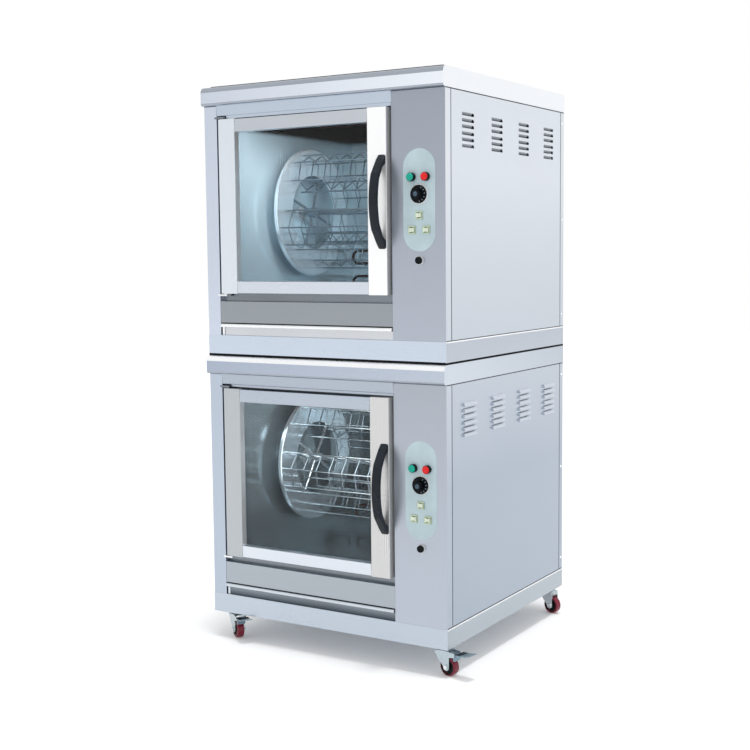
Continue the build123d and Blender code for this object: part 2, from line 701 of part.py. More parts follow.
def make_rotor_wheels(floor, spoke_angle):
    """Two flanged rings with a hub and four spokes behind each, facing each other across the cavity."""
    hub_radius = 15
    hub_length = 26
    hub_behind = 14
    spoke_behind = 3.5
    spoke_end = WHEEL_HOLE_RADIUS + 9
    peg_hole_radius = CAGE_WIRE_RADIUS + 0.3
    with BuildPart() as rotor_wheels:
        for face_x, outward in ((WHEEL_LEFT_X + WHEEL_SHEET, -1), (WHEEL_RIGHT_X - WHEEL_SHEET, 1)):
            with BuildSketch(sideways(floor, face_x)):
                with Locations((AXIS_Y, AXIS_Z)):
                    Circle(WHEEL_RADIUS)
                    Circle(WHEEL_HOLE_RADIUS, mode=Mode.SUBTRACT)
            extrude(amount=outward * WHEEL_SHEET)
            with BuildSketch(sideways(floor, face_x)):
                with Locations((AXIS_Y, AXIS_Z)):
                    Circle(WHEEL_RADIUS)
                    Circle(WHEEL_RADIUS - WHEEL_SHEET, mode=Mode.SUBTRACT)
            extrude(amount=outward * WHEEL_FLANGE)
            with BuildSketch(sideways(floor, face_x - outward * (hub_length - hub_behind))):
                with Locations((AXIS_Y, AXIS_Z)):
                    Circle(hub_radius)
            extrude(amount=outward * hub_length)
            spoke_x = face_x + outward * (WHEEL_SHEET + spoke_behind)
            centre = Vector(CABINET_X + spoke_x, CABINET_Y + AXIS_Y, floor + AXIS_Z)
            for quarter in range(4):
                angle = radians(spoke_angle + 90 * quarter)
                outwards = Vector(0, cos(angle), sin(angle))
                with BuildSketch(Plane(origin=centre + outwards * hub_radius * 0.8, z_dir=outwards)):
                    Circle(SPOKE_RADIUS)
                extrude(amount=spoke_end - hub_radius * 0.8)
            with BuildSketch(sideways(floor, face_x - outward * hub_length)):
                with Locations((AXIS_Y, AXIS_Z)):
                    Circle(SHAFT_RADIUS + RUNNING_CLEARANCE)
            extrude(amount=outward * 2 * hub_length, mode=Mode.SUBTRACT)
            with BuildSketch(sideways(floor, face_x)):
                with Locations(*peg_places(spoke_angle)):
                    Circle(peg_hole_radius)
            extrude(amount=outward * WHEEL_SHEET, mode=Mode.SUBTRACT)
    return rotor_wheels


def basket_angles(spoke_angle):
    """The baskets hang midway between the spokes."""
    return [spoke_angle + 45 + 360 / BASKETS * place for place in range(BASKETS)]


def peg_places(spoke_angle):
    """Centres of the wheel holes that take the outer wires of the baskets."""
    places = []
    for angle in basket_angles(spoke_angle):
        for across, out in (CAGE_CORNERS[0], CAGE_CORNERS[-1]):
            turned = radians(angle) + atan2(across, out)
            reach = (across ** 2 + out ** 2) ** 0.5
            places.append((AXIS_Y + reach * cos(turned), AXIS_Z + reach * sin(turned)))
    return places


def cage_outline(amount):
    """The six-sided outline of a basket, moved in or out from its corner line."""
    with BuildSketch(mode=Mode.PRIVATE) as outline:
        with BuildLine():
            Polyline(*CAGE_CORNERS, close=True)
        make_face()
        offset(amount=amount, kind=Kind.INTERSECTION)
    return outline.sketch


def make_baskets(floor, spoke_angle):
    """Four long wire baskets between the wheels: lengthwise wires welded to six-sided rings."""
    inside = WHEEL_RIGHT_X - WHEEL_LEFT_X - 2 * WHEEL_SHEET
    first_ring = (inside - CAGE_RING_PITCH * (CAGE_RINGS - 1) - CAGE_RING_WIRE) / 2
    ring_planes = [Plane.YZ.offset(first_ring + CAGE_RING_PITCH * ring) for ring in range(CAGE_RINGS)]
    with BuildPart() as basket:
        with BuildSketch(Plane.YZ.offset(-CAGE_PEG)):
            with Locations(CAGE_CORNERS[0], CAGE_CORNERS[-1]):
                Circle(CAGE_WIRE_RADIUS)
        extrude(amount=inside + 2 * CAGE_PEG)
        with BuildSketch(Plane.YZ.offset(1)):
            with Locations(*CAGE_CORNERS[1:5]):
                Circle(CAGE_WIRE_RADIUS)
        extrude(amount=inside - 2)
        with BuildSketch(*ring_planes):
            add(cage_outline(CAGE_RING_WIRE / 2))
            add(cage_outline(-CAGE_RING_WIRE / 2), mode=Mode.SUBTRACT)
        extrude(amount=CAGE_RING_WIRE)
    with BuildPart() as baskets:
        for angle in basket_angles(spoke_angle):
            turned = basket.part.rotate(Axis.X, angle - 90)
            with Locations((CABINET_X + WHEEL_LEFT_X + WHEEL_SHEET, CABINET_Y + AXIS_Y, floor + AXIS_Z)):
                add(turned)
    return baskets


def make_rotor_shaft(floor):
    """The plain shaft that carries both wheels."""
    with BuildPart() as rotor_shaft:
        with BuildSketch(sideways(floor, SHAFT_LEFT_X)):
            with Locations((AXIS_Y, AXIS_Z)):
                Circle(SHAFT_RADIUS)
        extrude(amount=SHAFT_RIGHT_X - SHAFT_LEFT_X)
        ends = rotor_shaft.faces().filter_by(Axis.X).edges()
        chamfer(ends, 1)
    return rotor_shaft


def make_shaft_bearings():
    """Flanged bush on each side wall of both cavities."""
    flange_radius = 26
    flange_thickness = 5
    boss_radius = 14
    boss_length = 12
    with BuildPart() as shaft_bearings:
        for floor in DECKS.values():
            for wall_x, inward in ((CAVITY_LEFT, 1), (CAVITY_RIGHT, -1)):
                for radius, length in ((flange_radius, flange_thickness), (boss_radius, boss_length)):
                    with BuildSketch(sideways(floor, wall_x)):
                        with Locations((AXIS_Y, AXIS_Z)):
                            Circle(radius)
                            Circle(SHAFT_RADIUS + RUNNING_CLEARANCE, mode=Mode.SUBTRACT)
                    extrude(amount=inward * length)
    return shaft_bearings


def make_gear_motors():
    """Gear motor of each deck, bolted to the right wall of the cavity behind the control panel."""
    start = CAVITY_RIGHT + SHEET
    plate_thickness = 4
    box_length = 52
    motor_length = 84
    motor_radius = 36
    bore = SHAFT_RADIUS + RUNNING_CLEARANCE
    with BuildPart() as gear_motors:
        for floor in DECKS.values():
            with BuildSketch(sideways(floor, start)):
                span(AXIS_Y - 55, AXIS_Y + 55, AXIS_Z - 60, AXIS_Z + 60)
            extrude(amount=plate_thickness)
            with BuildSketch(sideways(floor, start + plate_thickness)):
                span(AXIS_Y - 45, AXIS_Y + 45, AXIS_Z - 50, AXIS_Z + 50)
            extrude(amount=box_length)
            with BuildSketch(sideways(floor, start + plate_thickness + box_length)):
                with Locations((AXIS_Y, AXIS_Z)):
                    Circle(motor_radius)
            extrude(amount=motor_length)
            with BuildSketch(sideways(floor, start)):
                with Locations((AXIS_Y, AXIS_Z)):
                    Circle(bore)
            extrude(amount=SHAFT_RIGHT_X - start + 1, mode=Mode.SUBTRACT)
    return gear_motors


def make_control_plates():
    """Oval overlay plates of both control panels."""
    width = OVAL_WIDTH
    height = OVAL_TOP - OVAL_BOTTOM
    with BuildPart() as control_plates:
        for floor in DECKS.values():
            with BuildSketch(facing(floor, 0)):
                with Locations((PANEL_X, (OVAL_TOP + OVAL_BOTTOM) / 2)):
                    SlotOverall(height, width, rotation=90)
                with BuildSketch(mode=Mode.PRIVATE) as holes:
                    panel_cutouts()
                add(holes.sketch, mode=Mode.SUBTRACT)
            extrude(amount=OVAL_THICKNESS)
    return control_plates


def make_switch_bodies():
    """Bezel and body of every rocker switch, and the collar of each reset button."""
    body_depth = 24
    pocket_depth = 9
    collar_radius = 11.5
    collar_proud = 2
    collar_bore = RESET_CAP_RADIUS + 0.4
    barrel_radius = 8
    barrel_bore = 6.4
    with BuildPart() as switch_bodies:
        for floor in DECKS.values():
            for x, z in rocker_places().values():
                with BuildSketch(facing(floor, -OVAL_THICKNESS)):
                    with Locations((x, z)):
                        RectangleRounded(ROCKER_BEZEL, ROCKER_BEZEL, 1.5)
                extrude(amount=ROCKER_BEZEL_PROUD - OVAL_THICKNESS)
                with BuildSketch(facing(floor, -OVAL_THICKNESS)):
                    with Locations((x, z)):
                        Rectangle(ROCKER_BODY, ROCKER_BODY)
                extrude(amount=-body_depth)
                with BuildSketch(facing(floor, -ROCKER_BEZEL_PROUD)):
                    with Locations((x, z)):
                        Rectangle(ROCKER_POCKET_LENGTH, ROCKER_POCKET_HEIGHT)
                extrude(amount=-(ROCKER_BEZEL_PROUD + pocket_depth), mode=Mode.SUBTRACT)
                pin_reach = ROCKER_PIN_REACH + 0.2
                with BuildSketch(level(floor, z - pin_reach)):
                    with Locations((x, ROCKER_PIVOT_Y)):
                        Circle(ROCKER_PIN_RADIUS + RUNNING_CLEARANCE)
                extrude(amount=2 * pin_reach, mode=Mode.SUBTRACT)
            with BuildSketch(facing(floor, 0)):
                with Locations((PANEL_X, RESET_Z)):
                    Circle(collar_radius)
                    Circle(collar_bore, mode=Mode.SUBTRACT)
            extrude(amount=collar_proud)
            with BuildSketch(facing(floor, 0)):
                with Locations((PANEL_X, RESET_Z)):
                    Circle(collar_radius)
                    Circle(barrel_bore, mode=Mode.SUBTRACT)
            extrude(amount=0.6)
            with BuildSketch(facing(floor, 0)):
                with Locations((PANEL_X, RESET_Z)):
                    Circle(barrel_radius)
                    Circle(barrel_bore, mode=Mode.SUBTRACT)
            extrude(amount=-18)
    return switch_bodies


def make_rocker(floor, place):
    """A rocker that lies on its side, with a shallow V face, tilted about its pins to the off position."""
    x, z = place
    face_end = -5.2
    face_dip = -3.6
    outline = [
        (7.6, face_end), (0, face_dip), (-7.6, face_end),
        (-6.6, 2), (-4, 6), (4, 6), (6.6, 2),
    ]
    with BuildPart() as rocker:
        with BuildSketch(level(floor, z - ROCKER_HEIGHT / 2)):
            with Locations((x, 0)):
                Polygon(*outline, align=None)
        extrude(amount=ROCKER_HEIGHT)
        with BuildSketch(level(floor, z - ROCKER_PIN_REACH)):
            with Locations((x, ROCKER_PIVOT_Y)):
                Circle(ROCKER_PIN_RADIUS)
        extrude(amount=2 * ROCKER_PIN_REACH)
    pivot = Axis((CABINET_X + x, CABINET_Y + ROCKER_PIVOT_Y, floor), (0, 0, 1))
    with BuildPart() as rocker_off:
        add(rocker.part.rotate(pivot, -ROCKER_TILT))
    return rocker_off


def make_reset_button(floor):
    """Round cap on a stem that slides in the collar's barrel."""
    cap_back = -1.2 - RESET_TRAVEL
    cap_length = 5
    stem_radius = 6
    stem_length = 14
    with BuildPart() as reset_button:
        with BuildSketch(facing(floor, cap_back)):
            with Locations((PANEL_X, RESET_Z)):
                Circle(RESET_CAP_RADIUS)
        extrude(amount=cap_length)
        front_edge = reset_button.faces().sort_by(Axis.Y)[0].edges()
        fillet(front_edge, 2.5)
        with BuildSketch(facing(floor, cap_back)):
            with Locations((PANEL_X, RESET_Z)):
                Circle(stem_radius)
        extrude(amount=-stem_length)
    return reset_button


def make_thermostats():
    """Thermostat behind each panel: body, bush, spindle, and the ring round the knob."""
    body = 44
    body_depth = 30
    bush_radius = 5.2
    ring_radius = 25.3
    ring_inner = 18
    ring_proud = 1.5
    spindle_reach = 16
    with BuildPart() as thermostats:
        for floor in DECKS.values():
            with BuildSketch(facing(floor, SHEET)):
                with Locations((PANEL_X, KNOB_Z)):
                    RectangleRounded(body, body, 5)
            extrude(amount=-body_depth)
            with BuildSketch(facing(floor, SHEET)):
                with Locations((PANEL_X, KNOB_Z)):
                    Circle(bush_radius)
            extrude(amount=SHEET + OVAL_THICKNESS)
            with BuildSketch(facing(floor, SHEET)):
                with Locations((PANEL_X, KNOB_Z)):
                    Circle(SPINDLE_RADIUS)
            extrude(amount=SHEET + spindle_reach)
            with BuildSketch(facing(floor, -OVAL_THICKNESS)):
                with Locations((PANEL_X, KNOB_Z)):
                    Circle(ring_radius)
                    Circle(ring_inner, mode=Mode.SUBTRACT)
            extrude(amount=ring_proud)
    return thermostats


def make_thermostat_knob(floor):
    """Skirted knob with a fluted grip and a blind bore for the spindle."""
    back = -2.5
    skirt_radius = 23
    skirt_thickness = 4
    grip_radius = 12.5
    grip_length = 15
    flute_radius = 1.6
    bore_depth = 14.5
    with BuildPart() as thermostat_knob:
        with BuildSketch(facing(floor, back)):
            with Locations((PANEL_X, KNOB_Z)):
                Circle(skirt_radius)
        extrude(amount=skirt_thickness)
        fillet(thermostat_knob.faces().sort_by(Axis.Y)[0].edges(), 1.5)
        with BuildSketch(facing(floor, back - skirt_thickness)):
            with Locations((PANEL_X, KNOB_Z)):
                Circle(grip_radius)
                with PolarLocations(grip_radius + 0.4, 18):
                    Circle(flute_radius, mode=Mode.SUBTRACT)
        extrude(amount=grip_length, taper=2)
        with BuildSketch(facing(floor, back)):
            with Locations((PANEL_X, KNOB_Z)):
                Circle(SPINDLE_RADIUS + RUNNING_CLEARANCE)
        extrude(amount=bore_depth, mode=Mode.SUBTRACT)
    return thermostat_knob


def make_indicator_lamps():
    """Pilot lamps of both panels: threaded body, round bezel and a lens that stands well out."""
    bezel_radius = 11
    lens_radius = 10
    bezel_proud = 12
    lens_proud = 16
    body_radius = 8
    body_depth = 24
    with BuildPart() as indicator_lamps:
        for floor in DECKS.values():
            for place in lamp_places():
                for radius, proud in ((bezel_radius, bezel_proud), (lens_radius, lens_proud)):
                    with BuildSketch(facing(floor, -OVAL_THICKNESS)):
                        with Locations(place):
                            Circle(radius)
                    extrude(amount=proud - OVAL_THICKNESS)
                with BuildSketch(facing(floor, -OVAL_THICKNESS)):
                    with Locations(place):
                        Circle(body_radius)
                extrude(amount=-body_depth)
        lens_rims = indicator_lamps.faces().filter_by(Axis.Y).group_by(Axis.Y)[0].edges()
        fillet(lens_rims, 2)
    return indicator_lamps


def make_oven_lamps():
    """Cavity lamps: holder in the right wall and a domed glass inside."""
    glass_radius = 30
    glass_proud = 12
    holder_radius = 24
    holder_depth = 34
    with BuildPart() as oven_lamps:
        for floor in DECKS.values():
            with BuildSketch(sideways(floor, CAVITY_RIGHT)):
                with Locations((LAMP_Y, OVEN_LAMP_Z)):
                    Circle(glass_radius)
            extrude(amount=-glass_proud)
            with BuildSketch(sideways(floor, CAVITY_RIGHT)):
                with Locations((LAMP_Y, OVEN_LAMP_Z)):
                    Circle(holder_radius)
            extrude(amount=holder_depth)
        rims = oven_lamps.faces().filter_by(Axis.X).group_by(Axis.X)[0].edges()
        fillet(rims, 6)
    return oven_lamps


def make_cable_glands():
    """Gland for the supply cord in each rear panel: flange, nose and a through bore."""
    back = CABINET_DEPTH - PANEL_INSET
    flange_radius = 13
    flange_length = 5
    nose_radius = 9.5
    thread_radius = 8
    thread_depth = 16
    reach = CABINET_DEPTH + GLAND_REACH - back
    with BuildPart() as cable_glands:
        for floor in DECKS.values():
            place = (GLAND_X, GLAND_Z)
            for radius, length in ((flange_radius, flange_length), (nose_radius, reach)):
                with BuildSketch(facing(floor, back)):
                    with Locations(place):
                        Circle(radius)
                extrude(amount=-length)
            with BuildSketch(facing(floor, back)):
                with Locations(place):
                    Circle(thread_radius)
            extrude(amount=thread_depth)
            with BuildSketch(facing(floor, back + reach)):
                with Locations(place):
                    Circle(GLAND_BORE)
            extrude(amount=reach + thread_depth, mode=Mode.SUBTRACT)
    return cable_glands


def make_panel_screws():
    """Domed screw heads beside the rear seams of the side panels."""
    rear_y = CABINET_DEPTH - PANEL_INSET - REAR_RETURN / 2
    with BuildPart() as panel_screws:
        for floor in DECKS.values():
            for side_x, outward in ((PANEL_INSET, -1), (CABINET_WIDTH - PANEL_INSET, 1)):
                with BuildSketch(sideways(floor, side_x)):
                    with Locations(*[(rear_y, z) for z in SCREW_HEIGHTS]):
                        Circle(SCREW_RADIUS)
                extrude(amount=outward * (PANEL_INSET - 0.1), taper=20)
    return panel_screws


def caster_frame(x, y, angle):
    """Upright plane through a caster's kingpin, along the way its wheel trails."""
    turn = radians(angle)
    return Plane(
        origin=(CABINET_X + x, CABINET_Y + y, 0),
        x_dir=(cos(turn), sin(turn), 0),
        z_dir=(sin(turn), -cos(turn), 0),
    )


def make_caster_plates():
    """Bolted plate, race cup and riveted kingpin of each caster."""
    plate = 64
    plate_thickness = 2.5
    plate_bottom = CASTER_HEIGHT - plate_thickness
    cup_radius = 18
    head_radius = 8
    head_height = 3
    with BuildPart() as caster_plates:
        for x, y, angle in CASTERS.values():
            with BuildSketch(level(plate_bottom, 0)):
                with Locations((x, y)):
                    RectangleRounded(plate, plate, 6)
            extrude(amount=plate_thickness)
            with BuildSketch(level(CUP_BOTTOM, 0)):
                with Locations((x, y)):
                    Circle(cup_radius)
            extrude(amount=plate_bottom - CUP_BOTTOM)
            for radius, height in ((KINGPIN_RADIUS, CUP_BOTTOM - KINGPIN_BOTTOM), (head_radius, head_height)):
                with BuildSketch(level(KINGPIN_BOTTOM, 0)):
                    with Locations((x, y)):
                        Circle(radius)
                extrude(amount=height)
    return caster_plates


def leg_outline(braked):
    """A stamped leg: wide at the crown, round at the axle, with an arm to the brake pedal's pin."""
    axle_z = WHEEL_DIAMETER / 2
    boss_radius = 9.5
    pivot_x, pivot_z = PEDAL_PIVOT
    ear_radius = 6
    with BuildSketch(mode=Mode.PRIVATE) as outline:
        with BuildLine():
            Polyline((LEG_FRONT, CROWN_TOP), (LEG_BACK, CROWN_TOP), (CASTER_TRAIL + boss_radius, axle_z + 20),
                     (CASTER_TRAIL + boss_radius, axle_z), (CASTER_TRAIL - boss_radius, axle_z),
                     (LEG_FRONT, CROWN_BOTTOM - 6), close=True)
        make_face()
        with Locations((CASTER_TRAIL, axle_z)):
            Circle(boss_radius)
        if braked:
            with BuildLine():
                Polyline((20, CROWN_TOP), (pivot_x, pivot_z + ear_radius), (pivot_x, pivot_z - ear_radius),
                         (28, CROWN_BOTTOM - 12), close=True)
            make_face()
            with Locations(PEDAL_PIVOT):
                Circle(ear_radius)
    return outline.sketch


def make_caster_fork(x, y, angle, braked):
    """Swivel crown with two stamped legs, the bolted axle, and ears for the brake pedal's pin."""
    frame = caster_frame(x, y, angle)
    crown_radius = 20
    leg_inner = 12.5
    leg = 2.5
    leg_outer = leg_inner + leg
    radius = WHEEL_DIAMETER / 2
    head_radius = 6.5
    head_length = 4
    with BuildPart() as caster_fork:
        with BuildSketch(level(CROWN_BOTTOM, 0)):
            with Locations((x, y)):
                Circle(crown_radius)
        extrude(amount=CROWN_TOP - CROWN_BOTTOM)
        bridge = Plane(origin=frame.origin + Vector(0, 0, CROWN_TOP - leg), x_dir=frame.x_dir, z_dir=(0, 0, 1))
        with BuildSketch(bridge):
            span(LEG_FRONT, LEG_BACK, -leg_outer, leg_outer)
        extrude(amount=leg)
        for side in (leg_inner, -leg_outer):
            with BuildSketch(frame.offset(side)):
                add(leg_outline(braked))
            extrude(amount=leg)
        for side in (-leg_outer - head_length, leg_outer):
            with BuildSketch(frame.offset(side)):
                with Locations((CASTER_TRAIL, radius)):
                    RegularPolygon(head_radius, 6)
            extrude(amount=head_length)
        with BuildSketch(frame.offset(-leg_outer)):
            with Locations((CASTER_TRAIL, radius)):
                Circle(AXLE_RADIUS)
            if braked:
                with Locations(PEDAL_PIVOT):
                    Circle(PEDAL_PIN_RADIUS)
        extrude(amount=2 * leg_outer)
        with BuildSketch(level(CROWN_BOTTOM, 0)):
            with Locations((x, y)):
                Circle(KINGPIN_RADIUS + RUNNING_CLEARANCE)
        extrude(amount=CROWN_TOP - CROWN_BOTTOM, mode=Mode.SUBTRACT)
    return caster_fork


def make_caster_wheel(x, y, angle):
    """Bored wheel with rounded tread shoulders and a dished face on each side of its hub."""
    frame = caster_frame(x, y, angle)
    radius = WHEEL_DIAMETER / 2
    half = CASTER_TREAD / 2
    dish_outer = 17
    dish_inner = 9
    dish_depth = 3
    with BuildPart() as caster_wheel:
        with BuildSketch(frame.offset(-half)):
            with Locations((CASTER_TRAIL, radius)):
                Circle(radius)
        extrude(amount=CASTER_TREAD)
        fillet(caster_wheel.edges(), 4)
        for start, depth in ((-half, dish_depth), (half, -dish_depth)):
            with BuildSketch(frame.offset(start)):
                with Locations((CASTER_TRAIL, radius)):
                    Circle(dish_outer)
                    Circle(dish_inner, mode=Mode.SUBTRACT)
            extrude(amount=depth, mode=Mode.SUBTRACT)
        with BuildSketch(frame.offset(-half)):
            with Locations((CASTER_TRAIL, radius)):
                Circle(AXLE_RADIUS + RUNNING_CLEARANCE)
        extrude(amount=CASTER_TREAD, mode=Mode.SUBTRACT)
    return caster_wheel


def make_brake_pedal(x, y, angle):
    """Bent pedal on a barrel between the fork's ears, with a shoe that swings down to the tread."""
    frame = caster_frame(x, y, angle)
    pivot_x, pivot_z = PEDAL_PIVOT
    barrel_radius = 4.5
    barrel_half = 11.5
    blade_start = pivot_x + 9
    blade = 2.5
    tip_z = 70
    shoe = [
        (pivot_x, pivot_z + 4), (blade_start + 4, pivot_z + 5), (blade_start + 4, pivot_z + 2),
        (pivot_x + 8, pivot_z - 3), (pivot_x + 4, pivot_z - 16), (pivot_x - 1, pivot_z - 16.5),
        (pivot_x - 2, pivot_z - 3),
    ]
    blade_outline = [
        (blade_start, pivot_z + 2), (pivot_x + 32, pivot_z + 3.5), (PEDAL_REACH, tip_z - blade),
        (PEDAL_REACH, tip_z), (pivot_x + 31, pivot_z + 6), (blade_start, pivot_z + 4.5),
    ]
    with BuildPart() as brake_pedal:
        with BuildSketch(frame.offset(-barrel_half)):
            with Locations(PEDAL_PIVOT):
                Circle(barrel_radius)
            Polygon(*shoe, align=None)
        extrude(amount=2 * barrel_half)
        with BuildSketch(frame.offset(-PEDAL_HALF_WIDTH)):
            Polygon(*blade_outline, align=None)
        extrude(amount=2 * PEDAL_HALF_WIDTH)
        with BuildSketch(frame.offset(-barrel_half)):
            with Locations(PEDAL_PIVOT):
                Circle(PEDAL_PIN_RADIUS + RUNNING_CLEARANCE)
        extrude(amount=2 * barrel_half, mode=Mode.SUBTRACT)
    return brake_pedal


for deck, floor in DECKS.items():
    save(make_base_box(floor), f"{deck}_base_box")
    save(make_top_cover(floor), f"{deck}_top_cover")
    make_side = make_louvred_side_panel if deck == "lower" else make_slotted_side_panel
    save(make_side(floor), f"{deck}_right_side_panel")
    save(make_front_frame(floor), f"{deck}_front_frame")
    save(make_control_fascia(floor), f"{deck}_control_fascia")
    save(make_oven_liner(floor), f"{deck}_oven_liner")
    save(make_door_frame(floor), f"{deck}_door_frame")
    save(make_door_glass(floor), f"{deck}_door_glass")
    save(make_door_handle(floor), f"{deck}_door_handle")
    save(make_grease_tray(floor), f"{deck}_grease_tray")
    save(make_rotor_wheels(floor, SPOKE_ANGLES[deck]), f"{deck}_rotor_wheels")
    save(make_rotor_shaft(floor), f"{deck}_rotor_shaft")
    save(make_baskets(floor, SPOKE_ANGLES[deck]), f"{deck}_baskets")
    save(make_thermostat_knob(floor), f"{deck}_thermostat_knob")
    for use, place in rocker_places().items():
        save(make_rocker(floor, place), f"{deck}_{use}_rocker")
    save(make_reset_button(floor), f"{deck}_reset_button")

save(make_left_side_panels(), "left_side_panels")
save(make_rear_panels(), "rear_panels")
save(make_heating_elements(), "heating_elements")
save(make_hinge_brackets(), "hinge_brackets")
save(make_shaft_bearings(), "shaft_bearings")
save(make_gear_motors(), "gear_motors")
save(make_control_plates(), "control_plates")
save(make_switch_bodies(), "switch_bodies")
save(make_thermostats(), "thermostats")
save(make_indicator_lamps(), "indicator_lamps")
save(make_oven_lamps(), "oven_lamps")
save(make_cable_glands(), "cable_glands")
save(make_panel_screws(), "panel_screws")
save(make_caster_plates(), "caster_plates")

for corner, (x, y, angle) in CASTERS.items():
    braked = corner in BRAKED_CASTERS
    save(make_caster_fork(x, y, angle, braked), f"caster_fork_{corner}")
    save(make_caster_wheel(x, y, angle), f"caster_wheel_{corner}")
    if braked:
        save(make_brake_pedal(x, y, angle), f"brake_pedal_{corner}")
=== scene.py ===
import json
from math import cos, pi, radians, sin, sqrt, tan

import bmesh
import bpy
from mathutils import Matrix, Vector

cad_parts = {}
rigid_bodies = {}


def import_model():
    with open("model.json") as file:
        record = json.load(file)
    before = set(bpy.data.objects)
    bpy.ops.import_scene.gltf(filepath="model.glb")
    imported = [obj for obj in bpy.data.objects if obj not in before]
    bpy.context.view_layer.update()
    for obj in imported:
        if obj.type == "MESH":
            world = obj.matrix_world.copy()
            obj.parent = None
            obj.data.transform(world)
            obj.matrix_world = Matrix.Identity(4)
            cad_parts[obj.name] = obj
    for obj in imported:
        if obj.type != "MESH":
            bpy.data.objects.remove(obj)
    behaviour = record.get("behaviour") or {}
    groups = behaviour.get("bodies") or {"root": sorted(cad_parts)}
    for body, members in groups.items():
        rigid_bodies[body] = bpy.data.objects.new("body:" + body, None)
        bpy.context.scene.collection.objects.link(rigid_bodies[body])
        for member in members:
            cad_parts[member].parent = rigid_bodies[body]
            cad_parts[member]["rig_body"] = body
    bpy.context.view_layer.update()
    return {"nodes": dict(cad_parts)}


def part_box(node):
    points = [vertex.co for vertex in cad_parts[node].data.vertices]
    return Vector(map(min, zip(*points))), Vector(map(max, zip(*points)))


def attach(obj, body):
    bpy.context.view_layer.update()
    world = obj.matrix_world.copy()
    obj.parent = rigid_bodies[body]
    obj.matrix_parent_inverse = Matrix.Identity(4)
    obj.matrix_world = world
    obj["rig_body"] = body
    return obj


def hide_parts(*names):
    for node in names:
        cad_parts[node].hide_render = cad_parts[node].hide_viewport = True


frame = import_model()

# Shapes are drawn in millimetres from the front left corner of a deck's base
MM = 0.001
BASE_LOW, BASE_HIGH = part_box("lower_base_box")
LEFT, FRONT = BASE_LOW.x, BASE_LOW.y
WIDTH = (BASE_HIGH.x - LEFT) / MM
DEPTH = (BASE_HIGH.y - FRONT) / MM
DECKS = {deck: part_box(f"{deck}_base_box")[0].z for deck in ("lower", "upper")}


# Materials

# Noise seldom leaves this range
NOISE_LOW, NOISE_HIGH = 0.3, 0.7
EVEN = (1.0, 1.0, 1.0)
# Scale of noise along the brushing against that across it
BRUSHING = 0.012
# Scales of a metal's fine and coarse noise
BRUSHED_GRAIN = (2600, 260)
EVEN_GRAIN = (900, 60)
METAL_CLOUDS = 4.5
METAL_ROUGHNESS_SPREAD = 0.07
METAL_LEAST_ROUGHNESS = 0.03
METAL_RELIEF = 0.0004
PLASTIC_CLOUDS = 18
PLASTIC_ROUGHNESS_SPREAD = 0.05
PLASTIC_RELIEF = 0.0002
GLASS_SMEARS = 9
GLASS_ROUGHNESS_SPREAD = 0.03


def new_material(name):
    """A node material with its shader and a texture coordinate in the object's own frame."""
    material = bpy.data.materials.new(name)
    material.use_nodes = True
    tree = material.node_tree
    coordinates = tree.nodes.new("ShaderNodeTexCoord").outputs["Object"]
    return material, tree, tree.nodes["Principled BSDF"], coordinates


def noise(tree, coordinates, stretch, scale, detail=3.0):
    """Noise whose grain is drawn out along the axes with a small stretch value."""
    mapping = tree.nodes.new("ShaderNodeMapping")
    mapping.inputs["Scale"].default_value = stretch
    tree.links.new(coordinates, mapping.inputs["Vector"])
    texture = tree.nodes.new("ShaderNodeTexNoise")
    texture.inputs["Scale"].default_value = scale
    texture.inputs["Detail"].default_value = detail
    tree.links.new(mapping.outputs["Vector"], texture.inputs["Vector"])
    return texture.outputs["Fac"]


def map_range(tree, value, start=0.0, end=1.0, low=0.0, high=1.0):
    """A value brought from one range to another, with what lies outside cut off."""
    node = tree.nodes.new("ShaderNodeMapRange")
    node.inputs["From Min"].default_value = start
    node.inputs["From Max"].default_value = end
    node.inputs["To Min"].default_value = low
    node.inputs["To Max"].default_value = high
    tree.links.new(value, node.inputs["Value"])
    return node.outputs["Result"]


def mix_colours(tree, value, first, last, start=0.0, end=1.0):
    """One colour where a value is low, and another where it is high."""
    node = tree.nodes.new("ShaderNodeValToRGB")
    low, high = node.color_ramp.elements
    low.position = start
    high.position = end
    low.color = (*first, 1)
    high.color = (*last, 1)
    tree.links.new(value, node.inputs["Fac"])
    return node.outputs["Color"]


def add_bump(tree, shader, height, strength, distance):
    """Relief on the shader's normal."""
    bump = tree.nodes.new("ShaderNodeBump")
    bump.inputs["Strength"].default_value = strength
    bump.inputs["Distance"].default_value = distance
    tree.links.new(height, bump.inputs["Height"])
    tree.links.new(bump.outputs["Normal"], shader.inputs["Normal"])


def average(tree, first, second):
    """The mean of two noises."""
    total = tree.nodes.new("ShaderNodeMath")
    total.operation = "ADD"
    tree.links.new(first, total.inputs[0])
    tree.links.new(second, total.inputs[1])
    half = tree.nodes.new("ShaderNodeMath")
    half.operation = "MULTIPLY"
    half.inputs[1].default_value = 0.5
    tree.links.new(total.outputs[0], half.inputs[0])
    return half.outputs[0]


def tone(red, green, blue):
    """The linear colour of a tone given in the usual 0 to 255 steps, by the sRGB curve."""
    return tuple(((c / 255 + 0.055) / 1.055) ** 2.4 for c in (red, green, blue))


def along_axis(tree, coordinates, colour, axis, start, end, first, last):
    """A colour multiplied by one tint at the start of an axis and by another at its end."""
    parts = tree.nodes.new("ShaderNodeSeparateXYZ")
    tree.links.new(coordinates, parts.inputs["Vector"])
    place = map_range(tree, parts.outputs[axis], start, end)
    product = tree.nodes.new("ShaderNodeVectorMath")
    product.operation = "MULTIPLY"
    tree.links.new(colour, product.inputs[0])
    tree.links.new(mix_colours(tree, place, first, last), product.inputs[1])
    return product.outputs["Vector"]


